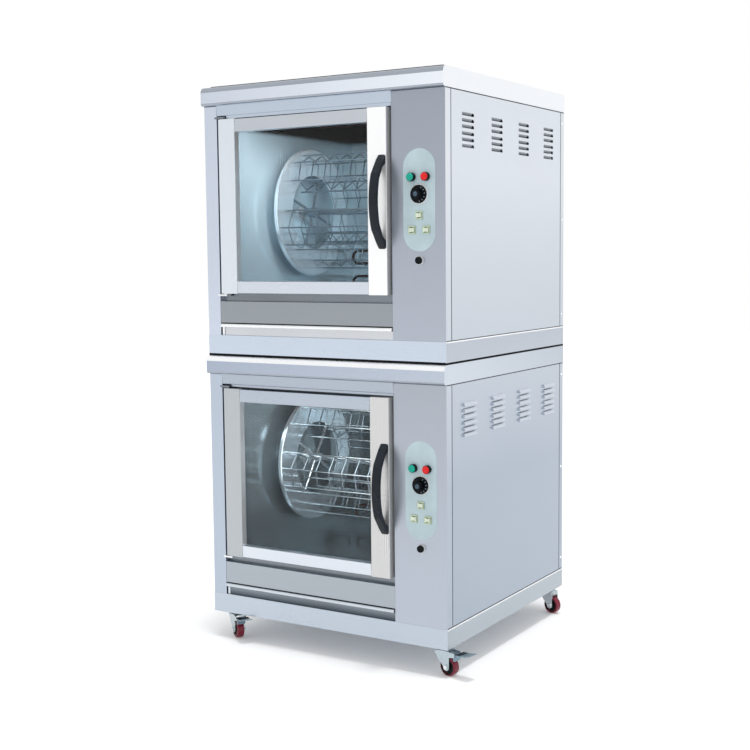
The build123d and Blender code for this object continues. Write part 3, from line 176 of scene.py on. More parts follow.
def metal(name, colour, roughness, grain, variation, bump, bare=1.0, fades=(), grime=None):
    """Bare metal. grain is the axis that the brushing runs along; without it there is none."""
    material, tree, shader, coordinates = new_material(name)
    stretch = [BRUSHING if axis == grain else 1.0 for axis in "XYZ"]
    fine_scale, coarse_scale = BRUSHED_GRAIN if grain else EVEN_GRAIN
    fine = noise(tree, coordinates, stretch, fine_scale)
    coarse = noise(tree, coordinates, stretch, coarse_scale)
    clouds = noise(tree, coordinates, EVEN, METAL_CLOUDS, 2.0)
    streaks = average(tree, fine, coarse)
    mottle = average(tree, streaks, clouds)
    dark = [c * (1 - variation) for c in (grime or colour)]
    light = [min(1.0, c * (1 + variation)) for c in colour]
    shade = mix_colours(tree, mottle, dark, light, NOISE_LOW, NOISE_HIGH)
    for fade in fades:
        shade = along_axis(tree, coordinates, shade, *fade)
    tree.links.new(shade, shader.inputs["Base Color"])
    smooth = max(METAL_LEAST_ROUGHNESS, roughness - METAL_ROUGHNESS_SPREAD)
    rough = roughness + METAL_ROUGHNESS_SPREAD
    polish = map_range(tree, mottle, NOISE_LOW, NOISE_HIGH, smooth, rough)
    tree.links.new(polish, shader.inputs["Roughness"])
    shader.inputs["Metallic"].default_value = bare
    add_bump(tree, shader, streaks, bump, METAL_RELIEF)
    return material


def plastic(name, colour, roughness, grain_scale, bump, coat=0.0, gloss=0.5):
    """Moulded plastic or rubber with a fine pebble and slight unevenness in its tone."""
    material, tree, shader, coordinates = new_material(name)
    clouds = noise(tree, coordinates, EVEN, PLASTIC_CLOUDS, 2.0)
    dark = [c * 0.92 for c in colour]
    light = [min(1.0, c * 1.06 + 0.002) for c in colour]
    shade = mix_colours(tree, clouds, dark, light, NOISE_LOW, NOISE_HIGH)
    tree.links.new(shade, shader.inputs["Base Color"])
    smooth, rough = roughness - PLASTIC_ROUGHNESS_SPREAD, roughness + PLASTIC_ROUGHNESS_SPREAD
    polish = map_range(tree, clouds, NOISE_LOW, NOISE_HIGH, smooth, rough)
    tree.links.new(polish, shader.inputs["Roughness"])
    shader.inputs["Coat Weight"].default_value = coat
    shader.inputs["Specular IOR Level"].default_value = gloss
    if bump:
        pebble = noise(tree, coordinates, EVEN, grain_scale, 2.0)
        add_bump(tree, shader, pebble, bump, PLASTIC_RELIEF)
    return material


def clear(name, colour, roughness, ior):
    """Glass or a tinted lens, with the faint unevenness of a wiped surface."""
    material, tree, shader, coordinates = new_material(name)
    smears = noise(tree, coordinates, EVEN, GLASS_SMEARS)
    rough = roughness + GLASS_ROUGHNESS_SPREAD
    polish = map_range(tree, smears, NOISE_LOW, NOISE_HIGH, roughness, rough)
    tree.links.new(polish, shader.inputs["Roughness"])
    dark = [c * 0.97 for c in colour]
    shade = mix_colours(tree, smears, dark, colour, NOISE_LOW, NOISE_HIGH)
    tree.links.new(shade, shader.inputs["Base Color"])
    shader.inputs["Transmission Weight"].default_value = 1.0
    shader.inputs["IOR"].default_value = ior
    return material


# Fades of painted shade: the axis, its start and end in metres, and the tints at both. The sides
# darken towards the bottom, the fascias towards their top, the covers towards their left end, the
# lower cover's sides towards the back and the lower tray's front towards its bottom
LOW, UP = DECKS["lower"], DECKS["upper"]
SIDE_FADE = ("Z", 0.5, 1.3, (0.54, 0.58, 0.63), EVEN)
FRONT_FADE = ("Z", UP + 0.05, UP + 0.68, EVEN, (0.79, 0.80, 0.80))
LOW_FRONT_FADE = ("Z", LOW + 0.05, LOW + 0.68, (0.96, 0.97, 0.97), (0.80, 0.80, 0.79))
COVER_FADE = ("X", LEFT, LEFT + 0.76, (0.70, 0.73, 0.78), EVEN)
LOW_COVER_FADE = ("X", LEFT, LEFT + 0.76, (0.74, 0.76, 0.8), (0.92, 0.92, 0.92))
DEPTH_FADE = ("Y", FRONT, FRONT + 0.74, EVEN, (0.82, 0.83, 0.84))
TRAY_FADE = ("Z", LOW + 0.056, LOW + 0.076, (0.26, 0.28, 0.31), (0.95, 0.96, 0.97))
# Painted shade towards the top of the upper cavity, then a near-black band of painted shade at its
# very top
PAINTED_CAVITY_SHADE = ("Z", UP + 0.5, UP + 0.62, EVEN, (0.6, 0.63, 0.65))
PAINTED_CAVITY_TOP_SHADE = ("Z", UP + 0.616, UP + 0.629, EVEN, (0.015, 0.011, 0.01))

# Looks by the record's slot that they take their finish from. A metal gives its colour, roughness,
# grain, variation, bump, bareness, fades and grime; a plastic its colour, roughness, grain scale,
# bump, coat and gloss; a clear one its colour, roughness and index of refraction.
FINISHES = (
    ("stainless_steel", metal, {
        # Painted light: these are one steel in lit and shaded copies by deck and by face, with the
        # fronts painted darker than the sides and the fades painting shade
        "side_steel": (tone(221, 227, 234), 0.34, "Z", 0.02, 0.02, 0.9, [SIDE_FADE]),
        "return_steel": (tone(226, 231, 238), 0.3, "Z", 0.02, 0.02, 0.9, [SIDE_FADE]),
        "base_steel_upper": (tone(196, 206, 220), 0.3, "X", 0.03, 0.03),
        "base_steel_lower": (tone(188, 198, 209), 0.3, "X", 0.03, 0.03),
        "base_side_upper": (tone(184, 191, 201), 0.34, "Y", 0.02, 0.02, 0.85),
        "base_side_lower": (tone(178, 187, 194), 0.34, "Y", 0.02, 0.02, 0.7),
        "cover_front_upper": (tone(236, 241, 248), 0.3, "X", 0.02, 0.02, 0.95, [COVER_FADE]),
        "cover_front_lower": (tone(190, 199, 213), 0.3, "X", 0.03, 0.02, 0.95, [LOW_COVER_FADE]),
        # Painted shade on the upper cover's shoulder and under both covers' noses
        "cover_edge": (tone(160, 167, 177), 0.26, "X", 0.04, 0.02),
        "cover_side_upper": (tone(242, 245, 249), 0.34, "Y", 0.01, 0.02, 0.9),
        "cover_side_lower": (tone(202, 210, 220), 0.34, "Y", 0.02, 0.02, 0.9, [DEPTH_FADE]),
        # Painted shade: the covers' tops are painted darker than their sides against the sun's
        # glare
        "cover_top": (tone(178, 186, 195), 0.46, "Y", 0.03, 0.02, 0.9),
        "post_upper": (tone(200, 208, 222), 0.3, "Z", 0.03, 0.03),
        "post_lower": (tone(180, 190, 204), 0.3, "Z", 0.03, 0.03),
        "lintel_upper": (tone(187, 198, 212), 0.3, "X", 0.04, 0.03),
        "lintel_lower": (tone(170, 179, 191), 0.3, "X", 0.04, 0.03),
        "front_steel_upper": (tone(174, 181, 193), 0.36, "Z", 0.03, 0.03, 0.95, [FRONT_FADE]),
        "front_steel_lower": (tone(186, 193, 205), 0.36, "Z", 0.03, 0.03, 0.95, [LOW_FRONT_FADE]),
        "kick_steel_upper": (tone(150, 156, 161), 0.34, "X", 0.04, 0.03),
        "kick_steel_lower": (tone(168, 176, 183), 0.34, "X", 0.04, 0.03),
        # Painted shade on the door's jamb and the upper hinge brackets
        "jamb_steel": (tone(124, 130, 136), 0.22, "X", 0.14, 0.03),
        "stile_left_upper": (tone(218, 225, 232), 0.3, "Z", 0.03, 0.015, 0.85),
        "stile_left_lower": (tone(180, 185, 189), 0.3, "Z", 0.04, 0.015, 0.9),
        # Painted highlight: the upper door's right stile is painted near white
        "stile_right_upper": (tone(253, 254, 255), 0.3, "Z", 0.01, 0.02, 0.6),
        "stile_right_lower": (tone(208, 208, 208), 0.3, "Z", 0.03, 0.015, 0.7),
        "rail_top_upper": (tone(192, 197, 204), 0.3, "X", 0.07, 0.04),
        "rail_top_lower": (tone(180, 189, 201), 0.3, "X", 0.05, 0.04),
        "rail_bottom_upper": (tone(204, 210, 219), 0.3, "X", 0.04, 0.04, 0.9),
        "rail_bottom_lower": (tone(216, 222, 230), 0.3, "X", 0.04, 0.04, 0.9),
        "tray_steel": (tone(200, 203, 207), 0.24, "X", 0.08, 0.04),
        # Painted shade on the lower tray's front, darker towards its bottom
        "tray_front": (tone(132, 140, 147), 0.2, "X", 0.2, 0.04, 1.0, [TRAY_FADE]),
        "tray_lip": (tone(206, 214, 221), 0.22, "X", 0.05, 0.02, 0.85),
        # Painted highlight on the lower deck's louvre hoods
        "louvre_steel": (tone(204, 212, 222), 0.34, "Z", 0.02, 0.02, 0.8),
        # Painted highlight on the base's hem, the upper tray's lip, the stiles' right-facing sides
        # and the lower cover's shoulder
        "lip_steel": (tone(246, 248, 250), 0.22, "X", 0.02, 0.02, 0.6),
        # Painted shade inside the upper deck's slots
        "slot_dark": (tone(150, 156, 164), 0.5, "Y", 0.08, 0.02, 0.2),
    }),
    ("cavity_steel", metal, {
        # Painted light: the upper cavity is a lighter copy of the lower one
        "cavity_upper": (tone(206, 226, 236), 0.22, "Z", 0.06, 0.02, 0.7, [PAINTED_CAVITY_SHADE, PAINTED_CAVITY_TOP_SHADE]),
        "cavity_lower": (tone(162, 174, 180), 0.2, "Z", 0.08, 0.02, 0.8),
        # Painted shade on the liners' ceilings
        "soot": (tone(58, 46, 44), 0.5, "X", 0.3, 0.1, 0.5),
    }),
    ("rotor_steel", metal, {
        "rotor_steel": (tone(226, 238, 246), 0.16, None, 0.05, 0.02, 0.8),
        # Painted light: the upper and lower spokes and shafts are shaded and lit copies of one
        # steel
        "spoke_upper": (tone(158, 174, 186), 0.16, None, 0.08, 0.02, 0.85),
        "spoke_lower": (tone(232, 240, 246), 0.16, None, 0.05, 0.02, 0.8),
    }),
    ("basket_wire", metal, {
        # Painted light: the upper and lower baskets are shaded and lit copies of one wire
        "wire_upper": (tone(100, 116, 128), 0.2, None, 0.12, 0.02, 0.7),
        "wire_lower": (tone(226, 234, 238), 0.2, None, 0.08, 0.02),
        "loop_upper": (tone(184, 198, 206), 0.2, None, 0.08, 0.02),
        "loop_lower": (tone(146, 158, 166), 0.2, None, 0.08, 0.02),
    }),
    ("hardware", metal, {
        "zinc": (tone(184, 196, 202), 0.26, None, 0.10, 0.08),
        "pedal_steel": (tone(124, 146, 158), 0.26, None, 0.12, 0.06),
        "bright_steel": (tone(232, 236, 238), 0.18, None, 0.05, 0.03, 0.85),
    }),
    ("motor_casting", metal, {
        "casting": ((0.45, 0.46, 0.47), 0.5, None, 0.12, 0.25),
    }),
    ("element_sheath", metal, {
        "oxidised": ((0.10, 0.045, 0.035), 0.55, None, 0.35, 0.3, 1.0, (), (0.05, 0.02, 0.018)),
    }),
    ("panel_film", plastic, {
        "film": ((0.52, 0.66, 0.71), 0.35, 2200, 0.02, 0.2),
        "scale_ink": (tone(158, 176, 184), 0.5, 1500, 0.0, 0.0, 0.2),
        "white_ink": ((0.80, 0.82, 0.82), 0.5, 1500, 0.0),
    }),
    ("black_plastic", plastic, {
        "black": ((0.005, 0.007, 0.009), 0.3, 1600, 0.05, 0.0, 0.08),
        "bow": ((0.008, 0.013, 0.02), 0.28, 1600, 0.04, 0.0, 0.22),
        # Painted highlight: the knob's blue-grey cap stands for a glint on its centre
        "knob_cap": (tone(52, 78, 98), 0.12, 1500, 0.0, 0.3, 0.4),
        "hub": ((0.006, 0.01, 0.009), 0.35, 1500, 0.05, 0.0, 0.12),
    }),
    ("ivory_plastic", plastic, {
        "sage": (tone(196, 214, 188), 0.42, 1800, 0.04, 0.0, 0.3),
        "sage_shade": (tone(136, 154, 130), 0.5, 1800, 0.04, 0.0, 0.2),
        "ivory": (tone(230, 242, 220), 0.35, 1800, 0.03, 0.0, 0.3),
    }),
    ("black_rubber", plastic, {
        "seam": (tone(62, 66, 72), 0.6, 900, 0.05, 0.0, 0.15),
        # Painted shadow in the joint between the decks and above the covers' fields
        "gap": (tone(16, 18, 20), 0.7, 900, 0.05, 0.0, 0.1),
    }),
    ("green_lens", plastic, {"green": ((0.0, 0.42, 0.31), 0.14, 1500, 0.0, 0.15, 0.25)}),
    ("red_lens", plastic, {"red": ((0.8, 0.012, 0.014), 0.14, 1500, 0.0, 0.15, 0.25)}),
    ("red_tread", plastic, {"tread": (tone(124, 16, 44), 0.22, 700, 0.03, 0.2, 0.3)}),
    ("door_glass", clear, {"door_glass": ((0.95, 0.985, 0.99), 0.0, 1.2)}),
    ("lamp_glass", clear, {"lamp_glass": ((0.95, 0.93, 0.86), 0.25, 1.45)}),
)
LOOKS = {}
for slot, make_material, looks in FINISHES:
    for look, values in looks.items():
        LOOKS[look] = make_material(look, *values)


# Drawing

EASED_ANGLE = 40
CAD_SMOOTH_ANGLE = 30
CAD_FLAT_ANGLE = 0.5
# Points closer than these are one point, in metres in a CAD mesh and in millimetres in a drawing
CAD_WELD = 0.00001
WELD = 0.0001


def as_piece(name, mesh, body, look, smooth_angle, bevel):
    """Puts a mesh that is already in the object's frame on a body, with a look."""
    mesh.polygons.foreach_set("use_smooth", [smooth_angle > 0] * len(mesh.polygons))
    mesh.set_sharp_from_angle(angle=radians(smooth_angle))
    piece = bpy.data.objects.new(name, mesh)
    bpy.context.scene.collection.objects.link(piece)
    mesh.materials.clear()
    mesh.materials.append(LOOKS[look])
    if bevel:
        modifier = piece.modifiers.new("eased_edges", "BEVEL")
        modifier.width = bevel * MM
        modifier.segments = 2
        modifier.limit_method = "ANGLE"
        modifier.angle_limit = radians(EASED_ANGLE)
        modifier.harden_normals = True
    if smooth_angle:
        level = piece.modifiers.new("flat_faces", "WEIGHTED_NORMAL")
        level.keep_sharp = True
    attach(piece, body)
    return piece


def draw(name, bm, floor, body, look, replaces=(), smooth_angle=35, bevel=0.0):
    """Ends a drawing made in millimetres from a deck's corner and makes it a piece."""
    bmesh.ops.recalc_face_normals(bm, faces=bm.faces)
    mesh = bpy.data.meshes.new(name)
    bm.to_mesh(mesh)
    bm.free()
    mesh.transform(Matrix.Translation((LEFT, FRONT, floor)) @ Matrix.Scale(MM, 4))
    piece = as_piece(name, mesh, body, look, smooth_angle, bevel)
    if replaces:
        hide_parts(*replaces)
    return piece


def add_bar(bm, low, high, bevel):
    """A straight bar or sheet between two corners, with its edges eased."""
    low, high = Vector(low), Vector(high)
    size = high - low
    matrix = Matrix.Translation((low + high) / 2) @ Matrix.Diagonal((*size, 1))
    made = bmesh.ops.create_cube(bm, size=1, matrix=matrix)
    edges = {edge for vertex in made["verts"] for edge in vertex.link_edges}
    offset = min(bevel, min(size) * 0.45)
    bmesh.ops.bevel(bm, geom=list(edges), offset=offset, segments=2, affect="EDGES", profile=0.5)


def draw_bars(name, bars, deck, body, look, bevel=0.1):
    """A piece made of bars, each given by its low and its high corner."""
    bm = bmesh.new()
    for low, high in bars:
        add_bar(bm, low, high, bevel)
    draw(name, bm, DECKS[deck], body, look)


PLANES = {
    "X": (Vector((0, 1, 0)), Vector((0, 0, 1)), Vector((1, 0, 0))),
    "Y": (Vector((1, 0, 0)), Vector((0, 0, 1)), Vector((0, 1, 0))),
    "Z": (Vector((1, 0, 0)), Vector((0, 1, 0)), Vector((0, 0, 1))),
}


def add_prism(bm, outline, axis, start, end, holes=()):
    """A flat shape with any holes, drawn across an axis and drawn out along it."""
    across, up, along = PLANES[axis]
    edges = []
    for loop in (outline, *holes):
        ring = [bm.verts.new(across * a + up * b + along * start) for a, b in loop]
        edges += [bm.edges.new((ring[i], ring[(i + 1) % len(ring)])) for i in range(len(ring))]
    if holes:
        filled = bmesh.ops.triangle_fill(bm, use_beauty=True, use_dissolve=False, edges=edges)
        faces = [item for item in filled["geom"] if isinstance(item, bmesh.types.BMFace)]
    else:
        faces = [bm.faces.new([edge.verts[0] for edge in edges])]
    moved = bmesh.ops.extrude_face_region(bm, geom=faces)
    top = [item for item in moved["geom"] if isinstance(item, bmesh.types.BMVert)]
    bmesh.ops.translate(bm, verts=top, vec=along * (end - start))


def add_skin(bm, rings, closed=False):
    """Faces between rings of points, which join into a loop or are capped at both ends."""
    for ring, after in zip(rings, rings[1:] + rings[:1] if closed else rings[1:]):
        for k in range(len(ring)):
            m = (k + 1) % len(ring)
            bm.faces.new((ring[k], ring[m], after[m], after[k]))
    if not closed:
        bm.faces.new(rings[0])
        bm.faces.new(rings[-1])


def add_lathe(bm, profile, centre, axis, steps=48):
    """A closed profile of (radius, distance along) points turned round an axis at a centre."""
    across, up, along = PLANES[axis]
    centre = Vector(centre)
    rings = []
    for i in range(steps):
        angle = 2 * pi * i / steps
        outward = across * cos(angle) + up * sin(angle)
        rings.append([bm.verts.new(centre + outward * r + along * s) for r, s in profile])
    add_skin(bm, rings, True)
    bmesh.ops.remove_doubles(bm, verts=[v for ring in rings for v in ring], dist=WELD)


def add_tube(bm, path, radius, sides, closed=False):
    """A round wire along a path of points, closed or with its ends capped."""
    points = [Vector(p) for p in path]
    count = len(points)
    rings = []
    normal = None
    for i, point in enumerate(points):
        before = points[i - 1] if closed or i else point
        after = points[(i + 1) % count] if closed or i < count - 1 else point
        tangent = (after - before).normalized()
        if normal is None:
            normal = tangent.orthogonal().normalized()
        normal = (normal - tangent * normal.dot(tangent)).normalized()
        side = tangent.cross(normal)
        turns = [2 * pi * k / sides for k in range(sides)]
        rings.append([bm.verts.new(point + (normal * cos(turn) + side * sin(turn)) * radius)
                      for turn in turns])
    add_skin(bm, rings, closed)


def rod(radius, start, end, ease=0.5):
    """Profile of a plain round bar with eased ends."""
    return [(0, start), (radius - ease, start), (radius, start + ease), (radius, end - ease),
            (radius - ease, end), (0, end)]


def rounded(low_a, high_a, low_b, high_b, radius, steps=6):
    """A rectangle with round corners."""
    centres = ((high_a - radius, high_b - radius), (low_a + radius, high_b - radius),
               (low_a + radius, low_b + radius), (high_a - radius, low_b + radius))
    turns = [(a, b, (quarter + i / steps) * pi / 2)
             for quarter, (a, b) in enumerate(centres) for i in range(steps + 1)]
    return [(a + radius * cos(turn), b + radius * sin(turn)) for a, b, turn in turns]


def softened(corners, radii, steps=5, closed=True):
    """A path through points, each rounded by an arc; radii is one radius or one for each."""
    points = [Vector((*corner, 0)) if len(corner) == 2 else Vector(corner) for corner in corners]
    count = len(points)
    path = []
    for i, corner in enumerate(points):
        radius = radii[i] if isinstance(radii, (list, tuple)) else radii
        if not closed and i in (0, count - 1):
            path.append(corner)
            continue
        to_before = (points[i - 1] - corner).normalized()
        to_after = (points[(i + 1) % count] - corner).normalized()
        half = to_before.angle(to_after) / 2
        centre = corner + (to_before + to_after).normalized() * (radius / sin(half))
        reach = radius / tan(half)
        first = corner + to_before * reach - centre
        last = corner + to_after * reach - centre
        path += [centre + first.slerp(last, s / steps) for s in range(steps + 1)]
    return path


def eased(corners, radii):
    """A flat outline with its corners rounded."""
    return [(point.x, point.y) for point in softened(corners, radii)]


def zone(piece, look, test):
    """Another look on the faces that pass a test of their middle and their normal.

    The middle is in millimetres, from the base's front left corner and from the ground up.
    """
    mesh = piece.data
    mesh.materials.append(LOOKS[look])
    corner = Vector((LEFT, FRONT, 0))
    for face in mesh.polygons:
        if test((face.center - corner) / MM, face.normal):
            face.material_index = len(mesh.materials) - 1


def dressed(node, look, bevel, zones=()):
    """A copy of a CAD node's shape, with its edges eased and any zones, which stands for it."""
    source = frame["nodes"][node]
    bm = bmesh.new()
    bm.from_mesh(source.data)
    bmesh.ops.remove_doubles(bm, verts=bm.verts, dist=CAD_WELD)
    angle = radians(CAD_FLAT_ANGLE)
    bmesh.ops.dissolve_limit(bm, angle_limit=angle, verts=bm.verts, edges=bm.edges)
    mesh = bpy.data.meshes.new(f"{node}_finish")
    bm.to_mesh(mesh)
    bm.free()
    piece = as_piece(f"{node}_finish", mesh, source["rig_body"], look, CAD_SMOOTH_ANGLE, bevel)
    for zone_look, test in zones:
        zone(piece, zone_look, test)
    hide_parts(node)


def finish_cad(node, look):
    """Gives a CAD node, whose shape is right as it is, the finish of one look."""
    for place in frame["nodes"][node].material_slots:
        place.material = LOOKS[look]


# The cabinet

BASE_TOP = 54
COVER_BOTTOM = 685
CEILING = 600
SIDE_FACE = 759
OPENING = {"left": 45, "right": 604, "bottom": 149, "top": 656}
MOUTH = {"left": 75, "right": 585, "bottom": 178, "top": 640, "radius": 4}
SHEET = 1.2
# Radii of a cut edge, and of a fold on its outside and inside
CUT, FOLD, FOLD_INSIDE = 0.2, 1.6, 0.3
FLANGED = [CUT, FOLD, FOLD, CUT, CUT, FOLD_INSIDE, FOLD_INSIDE, CUT]
POST_LEFT = 1
CORNER_RETURN = 29
KICK_BOTTOM = 88
KICK_FLANGE = 6
FRONT_JOINT = 0.5
LINTEL_JOINT = 0.3
JAMB = 17
JAMB_BOTTOM = 93.2
COVER_FIELD = 736.2
TRAY_FRONT = 6
TRAY_LIP = {"front": 5.3, "bottom": 75.8}
# How much of a face's normal lies along the axis that it faces
FACING = 0.7
LEANING = 0.05
LEVEL = 0.97
UPRIGHT = 0.3

# Trim, as low and high corners: joints at the corner post and the rear wrap, under the cover at the
# side and the front, and on the base
SEAMS = (
    ((SIDE_FACE - 0.3, CORNER_RETURN - 1.2, BASE_TOP),
     (SIDE_FACE + 0.15, CORNER_RETURN + 2, COVER_BOTTOM)),
    ((SIDE_FACE - 0.3, DEPTH - 26.6, BASE_TOP), (SIDE_FACE + 0.15, DEPTH - 23.4, COVER_BOTTOM)),
    ((SIDE_FACE - 0.3, 1, COVER_BOTTOM - 2.6), (SIDE_FACE + 0.3, DEPTH - 2, COVER_BOTTOM)),
    ((2, -0.3, COVER_BOTTOM - 1.6), (SIDE_FACE - 1, 0.6, COVER_BOTTOM)),
    ((SIDE_FACE - 0.3, 1, BASE_TOP), (SIDE_FACE + 0.2, DEPTH - 2, BASE_TOP + 2.2)),
)
# Painted highlight: a bright strip along the top of the base's right side
HIGHLIGHT_STRIP = (((WIDTH - 0.5, 0.5, BASE_TOP - 3.4), (WIDTH + 0.15, DEPTH - 0.5, BASE_TOP + 0.1)),)
# Painted shadow: black strips under the upper deck's base, at its front and its right side
DECK_SHADOW = (
    ((1.5, -0.3, -4.2), (WIDTH - 1.5, 0.8, 2)),
    ((WIDTH - 0.8, 1, -4.2), (WIDTH + 0.2, DEPTH - 2, 1.2)),
)
# Painted light: a strip in the lintel's tone over the shaded gap above each door
DOOR_HEAD = {
    "lower": (((78, -0.2, 650.5), (OPENING["right"] - 0.6, 1, OPENING["top"] + 0.4)),),
    "upper": (((78, -0.2, 648), (OPENING["right"] - 0.6, 1, OPENING["top"] + 0.4)),),
}
TRAY_FLANGE = (((48.2, 3.75, BASE_TOP + 0.6), (55.5, 4.3, 77)),)
TRAY_JOINT = (((55.5, 3.75, BASE_TOP + 0.6), (57.3, 4.3, 77)),)


def make_cover(deck):
    """Boxed cover, with painted shade under its flat front and on the upper deck's shoulder, a
    painted highlight on the lower deck's shoulder, lit and shaded tones at its sides and on top,
    and a painted shadow in the gap above its field.
    """
    shoulder = {"upper": "cover_edge", "lower": "lip_steel"}[deck]
    field = DECKS[deck] / MM + COVER_FIELD
    dressed(f"{deck}_top_cover", f"cover_front_{deck}", 0.5, [
        (shoulder, lambda place, normal: normal.y < -LEANING and normal.z > LEANING),
        ("cover_edge", lambda place, normal: normal.y < -LEANING and normal.z < -LEANING),
        (f"cover_side_{deck}", lambda place, normal: abs(normal.x) > FACING),
        ("cover_top", lambda place, normal: normal.y > FACING or normal.z > LEVEL),
        ("gap", lambda place, normal: abs(normal.z) < UPRIGHT and place.z > field),
    ])


def make_front(deck):
    """Corner post, lintel and kick panel, each a folded sheet, and the jamb of the door."""
    floor = DECKS[deck]
    node = [f"{deck}_front_frame"]
    left, right, bottom, top = (OPENING[side] for side in ("left", "right", "bottom", "top"))
    post = [(POST_LEFT, CORNER_RETURN), (POST_LEFT, 0), (left, 0), (left, JAMB),
            (left - SHEET, JAMB), (left - SHEET, SHEET), (POST_LEFT + SHEET, SHEET),
            (POST_LEFT + SHEET, CORNER_RETURN)]
    lintel = [(0, COVER_BOTTOM), (0, top), (JAMB, top), (JAMB, top + SHEET), (SHEET, top + SHEET),
              (SHEET, COVER_BOTTOM)]
    kick = [(JAMB, bottom), (0, bottom), (0, KICK_BOTTOM), (KICK_FLANGE, KICK_BOTTOM),
            (KICK_FLANGE, KICK_BOTTOM + SHEET), (SHEET, KICK_BOTTOM + SHEET),
            (SHEET, bottom - SHEET), (JAMB, bottom - SHEET)]
    start = left + FRONT_JOINT
    # Painted light: the post, lintel and kick panel take lit and shaded tones of one steel on each
    # deck
    for name, look, outline, radii, span in (
            ("corner_post", "post", post, FLANGED, ("Z", BASE_TOP, COVER_BOTTOM)),
            ("lintel", "lintel", lintel, [CUT, FOLD, CUT, CUT, FOLD_INSIDE, CUT],
             ("X", start, right - LINTEL_JOINT)),
            ("kick_panel", "kick_steel", kick, FLANGED, ("X", start, right - FRONT_JOINT))):
        bm = bmesh.new()
        add_prism(bm, eased(outline, radii), *span)
        draw(f"{deck}_{name}", bm, floor, "cabinet", f"{look}_{deck}", node)
    # Painted shade: the jamb is painted in a dark tone
    bm = bmesh.new()
    jamb = rounded(left - SHEET, right + SHEET, JAMB_BOTTOM, COVER_BOTTOM, 0.5)
    mouth = rounded(*MOUTH.values())
    add_prism(bm, jamb, "Y", JAMB, JAMB + SHEET, [mouth])
    add_bar(bm, (right, SHEET + 0.1, bottom - SHEET), (right + SHEET, JAMB, top + SHEET), 0.2)
    draw(f"{deck}_jamb", bm, floor, "cabinet", "jamb_steel", node)


def make_trim(deck):
    """Dark joints, a painted highlight along the base's hem, black strips painted as the shadow
    between the decks, and a strip in the lintel's tone painted over the shaded gap above the door.
    """
    draw_bars(f"{deck}_seams", SEAMS, deck, "cabinet", "seam")
    draw_bars(f"{deck}_base_hem_highlight", HIGHLIGHT_STRIP, deck, "cabinet", "lip_steel")
    if deck == "upper":
        draw_bars("deck_shadow_strip", DECK_SHADOW, deck, "cabinet", "gap")
    draw_bars(f"{deck}_door_head", DOOR_HEAD[deck], deck, "cabinet", f"lintel_{deck}", 0.2)


def make_tray(deck):
    """The grease tray, and the flange and joint at the left end of its front."""
    floor = DECKS[deck] / MM
    # Painted light: the lower tray's front is painted darker towards its bottom as shade, its lip a
    # dimmer tone, and the upper tray's lip takes a painted highlight
    front, lip = {"upper": ("tray_steel", "lip_steel"), "lower": ("tray_front", "tray_lip")}[deck]
    lip_front, lip_bottom = TRAY_LIP["front"], floor + TRAY_LIP["bottom"]
    dressed(f"{deck}_grease_tray", "tray_steel", 0.3, [
        (front, lambda place, normal: normal.y < -FACING and place.y < TRAY_FRONT),
        (lip, lambda place, normal: place.z > lip_bottom and place.y < lip_front),
    ])
    draw_bars(f"{deck}_tray_flange", TRAY_FLANGE, deck, f"{deck}_tray", lip)
    draw_bars(f"{deck}_tray_joint", TRAY_JOINT, deck, f"{deck}_tray", "seam")


def make_cabinet(deck):
    """Base, cover, front, trim, side sheet, fascia, liner and tray of one deck."""
    ceiling = DECKS[deck] / MM + CEILING
    # Painted light: the base's front and sides are lit and shaded tones of one steel
    dressed(f"{deck}_base_box", f"base_steel_{deck}", 0.6, [
        (f"base_side_{deck}", lambda place, normal: abs(normal.x) > FACING)])
    make_cover(deck)
    make_front(deck)
    make_trim(deck)
    # Painted light: the upper deck's slots are painted grey inside as shade, and the lower deck's
    # hoods take a painted highlight
    vents = {
        "upper": ("slot_dark", lambda place, normal: place.x < SIDE_FACE - 0.2),
        "lower": ("louvre_steel", lambda place, normal: place.x > SIDE_FACE + 0.3),
    }
    dressed(f"{deck}_right_side_panel", "side_steel", 0.0, [vents[deck]])
    # Painted light: the fascia's front and its right return are shaded and lit tones of one steel
    dressed(f"{deck}_control_fascia", f"front_steel_{deck}", 0.3, [
        ("return_steel", lambda place, normal: normal.x > 0.5)])
    # Painted shade: the faces of the liner's ceiling, facing down above CEILING, are painted dark
    dressed(f"{deck}_oven_liner", f"cavity_{deck}", 0.0, [
        ("soot", lambda place, normal: normal.z < -FACING and place.z > ceiling)])
    make_tray(deck)


# The door

DOOR = {"left": 58, "right": 597, "bottom": 170, "top": 646, "front": -14, "back": 14}
WINDOW = {"left": 115.5, "right": 540, "bottom": 204, "top": 610}
REBATE = 10
GLASS_FRONT, GLASS_BACK = 5, 10
PANE_PLAY = 0.5
RAIL_JOINT = 0.35
MEMBER_RADII = [2.5, 1.2, 0.3, 0.3, 0.6, 0.6]


def member_section(side):
    """Section of the door's member at a side: points of its place across and its depth."""
    outer, inner = DOOR[side], WINDOW[side]
    front, back = DOOR["front"], DOOR["back"]
    step = inner - REBATE if side in ("left", "bottom") else inner + REBATE
    return eased([(outer, front), (inner, front), (inner, GLASS_FRONT), (step, GLASS_FRONT),
                  (step, back), (outer, back)], MEMBER_RADII)


